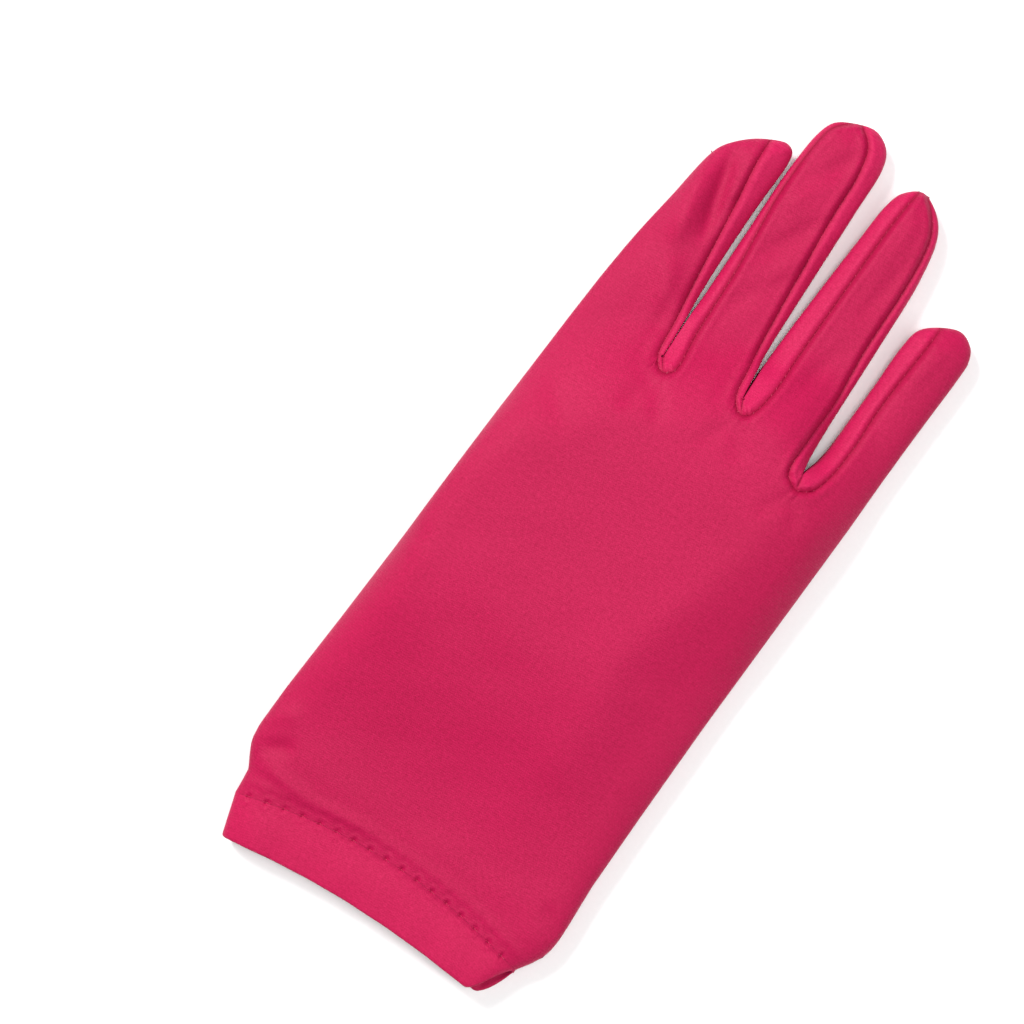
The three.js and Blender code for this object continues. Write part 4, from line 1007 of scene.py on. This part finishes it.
def stitch_tree():
    tree = bpy.data.node_groups.new("stitches along a line", "GeometryNodeTree")
    add_sockets(tree, "INPUT", [("Geometry", "Geometry", None), ("Spacing", "Float", 0.0024),
                                ("Stitch length", "Float", 0.0014), ("Thread radius", "Float", 0.00014),
                                ("Slant", "Float", 0.5), ("Finish", "Material", None)])
    add_sockets(tree, "OUTPUT", [("Geometry", "Geometry", None)])
    start = add_node(tree, "NodeGroupInput")
    curve = add_node(tree, "GeometryNodeMeshToCurve", {"Mesh": start["Geometry"]})
    spaced = add_node(tree, "GeometryNodeResampleCurve", mode="LENGTH",
                      inputs={"Curve": curve["Curve"], "Length": start["Spacing"]})
    ball = add_node(tree, "GeometryNodeMeshUVSphere", {"Segments": 8, "Rings": 6, "Radius": 1.0})
    half = add_node(tree, "ShaderNodeMath", {0: start["Stitch length"], 1: 0.5}, operation="MULTIPLY")
    radius = start["Thread radius"]
    size = add_node(tree, "ShaderNodeCombineXYZ", {"X": half[0], "Y": radius, "Z": radius})
    tangent = add_node(tree, "GeometryNodeInputTangent")
    align = add_node(tree, "FunctionNodeAlignEulerToVector", {"Vector": tangent[0]}, axis="X")
    slant = add_node(tree, "ShaderNodeCombineXYZ", {"Z": start["Slant"]})
    turn = add_node(tree, "FunctionNodeRotateEuler", {"Rotation": align[0], "Rotate By": slant[0]}, space="LOCAL")
    stitches = add_node(tree, "GeometryNodeInstanceOnPoints", {
        "Points": spaced["Curve"], "Instance": ball["Mesh"], "Rotation": turn[0], "Scale": size[0]})
    real = add_node(tree, "GeometryNodeRealizeInstances", {"Geometry": stitches["Instances"]})
    soft = add_node(tree, "GeometryNodeSetShadeSmooth", {"Geometry": real["Geometry"]})
    done = add_node(tree, "GeometryNodeSetMaterial", {"Geometry": soft["Geometry"], "Material": start["Finish"]})
    add_node(tree, "NodeGroupOutput", {"Geometry": done["Geometry"]})
    return tree


STITCHES = stitch_tree()
SOCKETS = {item.name: item.identifier for item in STITCHES.interface.items_tree if item.in_out == "INPUT"}
print("stitch tree inputs:", list(SOCKETS))

# %% [markdown]
# The knit is one node group used by every satin finish. It reads the cloth coordinates, in millimetres, and draws
# rows of small V-shaped loops, then breaks them up with fine grain, specks and slow clouds of shade. It puts out a
# colour, a roughness and a height for a Bump node. The satin itself is in each material, where the sheen belongs.

# %% The knit as a node group
def knit_group():
    group = bpy.data.node_groups.new("satin knit", "ShaderNodeTree")
    add_sockets(group, "INPUT", [("Cloth", "Vector", None), ("Place", "Vector", None),
                                 ("Light colour", "Color", (0.8, 0.03, 0.15, 1)),
                                 ("Deep colour", "Color", (0.6, 0.01, 0.08, 1)), ("Loop width", "Float", 0.42),
                                 ("Grain", "Float", 1.0), ("Roughness", "Float", 0.55)])
    add_sockets(group, "OUTPUT", [("Colour", "Color", None), ("Roughness", "Float", None), ("Height", "Float", None)])
    start = add_node(group, "NodeGroupInput")

    def maths(operation, *values):
        return add_node(group, "ShaderNodeMath", dict(enumerate(values)), operation=operation)[0]

    def noise(vector, scale, detail, roughness):
        return add_node(group, "ShaderNodeTexNoise", {
            "Vector": vector, "Scale": scale, "Detail": detail, "Roughness": roughness})["Fac"]

    parts = add_node(group, "ShaderNodeSeparateXYZ", {0: start["Cloth"]})
    leg = maths("PINGPONG", maths("DIVIDE", parts["X"], start["Loop width"]), 0.5)
    slanted = maths("ADD", maths("DIVIDE", parts["Y"], start["Loop width"]), maths("MULTIPLY", leg, 1.1))
    loop = maths("SINE", maths("MULTIPLY", maths("FRACT", slanted), math.pi))
    valley = maths("SINE", maths("MULTIPLY", leg, 2 * math.pi))
    knit = maths("MULTIPLY", loop, maths("ADD", maths("MULTIPLY", valley, 0.5), 0.5))
    fine = noise(start["Cloth"], 1.9, 2.0, 0.6)
    speck = noise(start["Cloth"], 0.85, 3.0, 0.7)
    cloud = noise(start["Place"], 26.0, 3.0, 0.55)
    speckle = maths("ADD", maths("MULTIPLY", fine, 0.55), maths("MULTIPLY", speck, 0.45))
    grain = maths("MULTIPLY", maths("SUBTRACT", speckle, 0.5), start["Grain"])
    light = maths("ADD", maths("MULTIPLY", grain, 2.4), maths("MULTIPLY_ADD", knit, 0.34, 0.3))
    light = maths("ADD", light, maths("MULTIPLY", maths("SUBTRACT", cloud, 0.5), 0.5))
    mix = add_node(group, "ShaderNodeMix", data_type="RGBA", clamp_factor=True,
                   inputs={"Factor": light, "A": start["Deep colour"], "B": start["Light colour"]})
    height = maths("ADD", maths("MULTIPLY", knit, 0.55), maths("MULTIPLY", grain, 0.9))
    add_node(group, "NodeGroupOutput", {"Colour": mix["Result"], "Height": height,
                                        "Roughness": maths("MULTIPLY_ADD", grain, -0.35, start["Roughness"])})
    return group


KNIT = knit_group()
print("knit group sockets:", len(KNIT.interface.items_tree))

# %% [markdown]
# Nylon satin is a fine bright thread, so it has a soft sheen that shows most where the cloth turns away. The panels,
# the side strips and the hem have the same knit, each with its own pair of colours: the strips' and the hem's are
# lighter, which is painted light where they catch more light than the panels. Close to a seam the cloth is painted
# deeper in tone, mostly painted shade in the seam's groove and partly standing in for the thread. The thread is
# plain, with fine noise between two tones.

# %% The finishes
def new_material(name, build):
    """A material whose Principled BSDF takes the inputs that build makes in its tree."""
    material = bpy.data.materials.new(name)
    material.use_nodes = True
    tree = material.node_tree
    fill_in(tree, tree.nodes["Principled BSDF"], build(tree))
    return material


def satin(name, light, deep):
    def build(tree):
        cloth = add_node(tree, "ShaderNodeUVMap", uv_map="cloth")
        knit = add_node(tree, "ShaderNodeGroup", node_tree=KNIT, inputs={
            "Cloth": cloth["UV"], "Place": add_node(tree, "ShaderNodeTexCoord")["Object"],
            "Light colour": (*light, 1), "Deep colour": (*deep, 1), "Loop width": 0.62, "Grain": 1.0,
            "Roughness": 0.54})
        ridge = add_node(tree, "ShaderNodeBump", {"Strength": 0.7, "Distance": 0.00009, "Height": knit["Height"]})
        # Painted shade: the seam attribute mixes the knit's colour towards a darker, deeper tone near a seam, mostly
        # for the shade in its groove and partly for the thread.
        near = add_node(tree, "ShaderNodeAttribute", attribute_name="seam")
        share = add_node(tree, "ShaderNodeMath", {0: near["Fac"], 1: 0.75}, operation="MULTIPLY")
        shaded = add_node(tree, "ShaderNodeMix", data_type="RGBA", inputs={
            "Factor": share[0], "A": knit["Colour"], "B": (deep[0] * 0.75, deep[1] * 0.5, deep[2] * 0.6, 1)})
        return {"Base Color": shaded["Result"], "Roughness": knit["Roughness"], "Normal": ridge["Normal"],
                "Specular IOR Level": 0.14, "Sheen Weight": 0.1, "Sheen Roughness": 0.42,
                "Sheen Tint": (1.0, 0.2, 0.42, 1)}
    return new_material(name, build)


def grained(name, scale, light, deep, roughness):
    """A plain finish whose two close tones are mixed by fine noise."""
    def build(tree):
        place = add_node(tree, "ShaderNodeTexCoord")
        noise = add_node(tree, "ShaderNodeTexNoise", {"Vector": place["Object"], "Scale": scale})
        tone = add_node(tree, "ShaderNodeMix", data_type="RGBA", inputs={
            "Factor": noise["Fac"], "A": (*light, 1), "B": (*deep, 1)})
        return {"Base Color": tone["Result"], "Roughness": roughness}
    return new_material(name, build)


panel_satin = satin("pink satin knit", (0.455, 0.0062, 0.069), (0.31, 0.0022, 0.04))
# The strips' and the hem's copies of the satin are painted lighter than the panels' as painted light, for the more
# light they catch.
strip_satin_painted_light = satin("pink satin knit, side strips", (0.54, 0.0115, 0.088), (0.375, 0.0042, 0.052))
hem_satin_painted_light = satin("pink satin knit, hem", (0.5, 0.0088, 0.077), (0.35, 0.0034, 0.046))


thread = grained("pink thread", 2600.0, (0.3, 0.004, 0.04), (0.5, 0.012, 0.08), 0.45)
for piece in (back, palm, thumb):
    piece.data.materials.append(panel_satin)
for piece in strips.values():
    piece.data.materials.append(strip_satin_painted_light)
hem.data.materials.append(hem_satin_painted_light)
print("finishes:", [m.name for m in (panel_satin, strip_satin_painted_light, hem_satin_painted_light, thread)])

# %% [markdown]
# The lines to be stitched are the three U seams on each face and the hem's row, all lying in their grooves. They are
# one edge-only mesh for each kind of stitch, so one modifier lays them all.

# %% Lay the seams' stitches and the hem's stitches
STITCH_HALF = 0.55
SEAM_SINK, HEM_RAISE, LEAST_HEIGHT = -0.02, 0.06, 0.24
TIP_CLEAR, U_PLACES = 1.6, 25


def stitched(name, lines, spacing, length, radius, slant):
    vertices, edges = [], []
    for line in lines:
        first = len(vertices)
        vertices += [tuple(v) for v in (line + ORIGIN) * MM]
        edges += [(first + i, first + i + 1) for i in range(len(line) - 1)]
    mesh = bpy.data.meshes.new(name)
    mesh.from_pydata(vertices, edges, [])
    piece = placed(name, mesh)
    layer = piece.modifiers.new("stitches", "NODES")
    layer.node_group = STITCHES
    values = {"Spacing": spacing, "Stitch length": length, "Thread radius": radius, "Slant": slant, "Finish": thread}
    for title, value in values.items():
        layer[SOCKETS[title]] = value
    plain = with_modifiers(piece)
    plain.name = name
    piece.modifiers.clear()
    piece.data = plain
    return piece


def on_skin(spots, face, raise_by):
    points = lay(spots, face, spots[:, 1] > THUMB_MOUTH_LEVEL, np.zeros(len(spots), bool))
    points[:, 2] += raise_by if face == "back" else -raise_by
    points[:, 2] = np.maximum(points[:, 2], LEAST_HEIGHT)
    return points


def below_tips(line):
    """The part of a seam line that stays clear of the glove's outline at the fingertips."""
    inside = to_line(line, GLOVE_LINE)[0] > TIP_CLEAR
    low, high = len(line) // 2 - U_PLACES, len(line) // 2 + U_PLACES
    first = max(np.flatnonzero(~inside[:low]), default=-1) + 1
    last = min(np.flatnonzero(~inside[high:]) + high, default=len(line))
    return line[first:last]


seam_lines = [on_skin(below_tips(seam_curves[i, face][0].at(np.linspace(0.03, 0.97, 160))), face, SEAM_SINK)
              for i in range(3) for face in ("back", "palm")]
seam_thread = stitched("seam_stitches", seam_lines, spacing=0.0022, length=0.0011, radius=0.00009, slant=0.9)
hem_lines = []
for middle in STITCH_START + STITCH_PITCH * np.arange(STITCH_COUNT):
    spots = np.array([(x, hem_level(x)) for x in (middle - STITCH_HALF, middle, middle + STITCH_HALF)])
    hem_lines += [on_skin(spots, "back", HEM_RAISE), on_skin(spots, "palm", 0)]
hem_thread = stitched("hem_stitches", hem_lines, spacing=0.0005, length=0.0009, radius=0.00013, slant=0.0)
print("stitch faces:", len(seam_thread.data.polygons), len(hem_thread.data.polygons))

# %% [markdown]
# Every piece rides on the glove's one body and stands in for its CAD node, which is hidden.

# %% Put each piece on the glove's body in place of its CAD node
PIECES = [(back, "back_panel", "satin", (0.100, 0.222), 0.0175, "laid", ["palm_cloth"]),
          (palm, "palm_panel", "satin", (0.100, 0.222), 0.0170, "laid", []),
          (thumb, "thumb", "satin", (0.115, 0.068), 0.0060, "folded", []),
          (hem, "cuff_hem", "satin_hem", (0.166, 0.0155), None, "folded", [])]
STRIP_SIZES = {("index", "right"): (0.0115, 0.070), ("middle", "left"): (0.010, 0.082),
               ("middle", "right"): (0.013, 0.084), ("ring", "left"): (0.0125, 0.078),
               ("ring", "right"): (0.011, 0.084), ("little", "left"): (0.0125, 0.060)}
for (f, side), strip in strips.items():
    finger = FINGERS[f]["name"]
    size = STRIP_SIZES[finger, side]
    PIECES.append((strip, f"fourchette_{finger}_{side}", "satin_side", size, None, "laid", ["palm_cloth"]))


def sheet_area(piece):
    return sum(p.area for p in piece.data.polygons) / 2


for piece, node, slot, *_ in PIECES:
    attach(piece, "root")
    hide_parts(node)
    print(node, "one face, cm2:", round(sheet_area(piece) * 1e4, 1))
for piece in (seam_thread, hem_thread):
    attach(piece, "root")

# %% [markdown]
# The glove lies on a plain pale table, a matt board. It could be any smooth sheet, so it is one flat square with
# next to no grain.

# %% The table
TABLE_HALF = 3.0
table_mesh = bpy.data.meshes.new("floor")
table_mesh.from_pydata([(x * TABLE_HALF, y * TABLE_HALF, 0) for x, y in ((-1, -1), (1, -1), (1, 1), (-1, 1))],
                       [], [(0, 1, 2, 3)])
table_mesh.materials.append(grained("pale table", 900.0, (0.86, 0.86, 0.86), (0.9, 0.9, 0.9), 0.85))
placed("floor", table_mesh)
print("table:", 2 * TABLE_HALF, "m wide")

# %% [markdown]
# A window light from the left draws the seams and folds, a weak one fills from the right, and one overhead keeps the
# table light between the fingers. Each is a disc with its place, its size and its power. The photograph looks
# straight down, with the glove turned about a third of a right angle, so the camera is turned and the glove stays
# square in its frame.

# %% Light and camera
CENTRE = (-0.0256, -0.0112, 0.0)
LIGHTS = [("window", (-0.9, 0.35, 0.85), 0.4, 15), ("fill", (0.9, 0.1, 1.2), 1.2, 6),
          ("overhead", (0.05, 0.1, 1.8), 0.8, 18)]
for name, place, size, power in LIGHTS:
    disc = bpy.data.lights.new(name, "AREA")
    disc.shape = "DISK"
    disc.size = size
    disc.energy = power
    light = placed(name, disc)
    light.location = place
    light.rotation_euler = (Vector(CENTRE) - Vector(place)).to_track_quat("-Z", "Y").to_euler()
world = bpy.data.worlds.new("studio")
world.use_nodes = True
world.node_tree.nodes["Background"].inputs["Color"].default_value = (1, 1, 1, 1)
world.node_tree.nodes["Background"].inputs["Strength"].default_value = 0.35
bpy.context.scene.world = world

LENS, SENSOR = 100, 36
VIEW_WIDTH, VIEW_LEVEL, VIEW_TURN = 0.2516, 0.008, 32.57
camera_data = bpy.data.cameras.new("camera")
camera_data.lens = LENS
camera_data.sensor_width = SENSOR
camera_data.clip_end = 10
camera = placed("camera", camera_data)
camera.location = (CENTRE[0], CENTRE[1], VIEW_WIDTH * LENS / SENSOR + VIEW_LEVEL)
camera.rotation_euler = (0, 0, math.radians(VIEW_TURN))
bpy.context.scene.camera = camera
bpy.context.scene.view_settings.view_transform = "Standard"
print("camera", [round(v, 3) for v in camera.location])
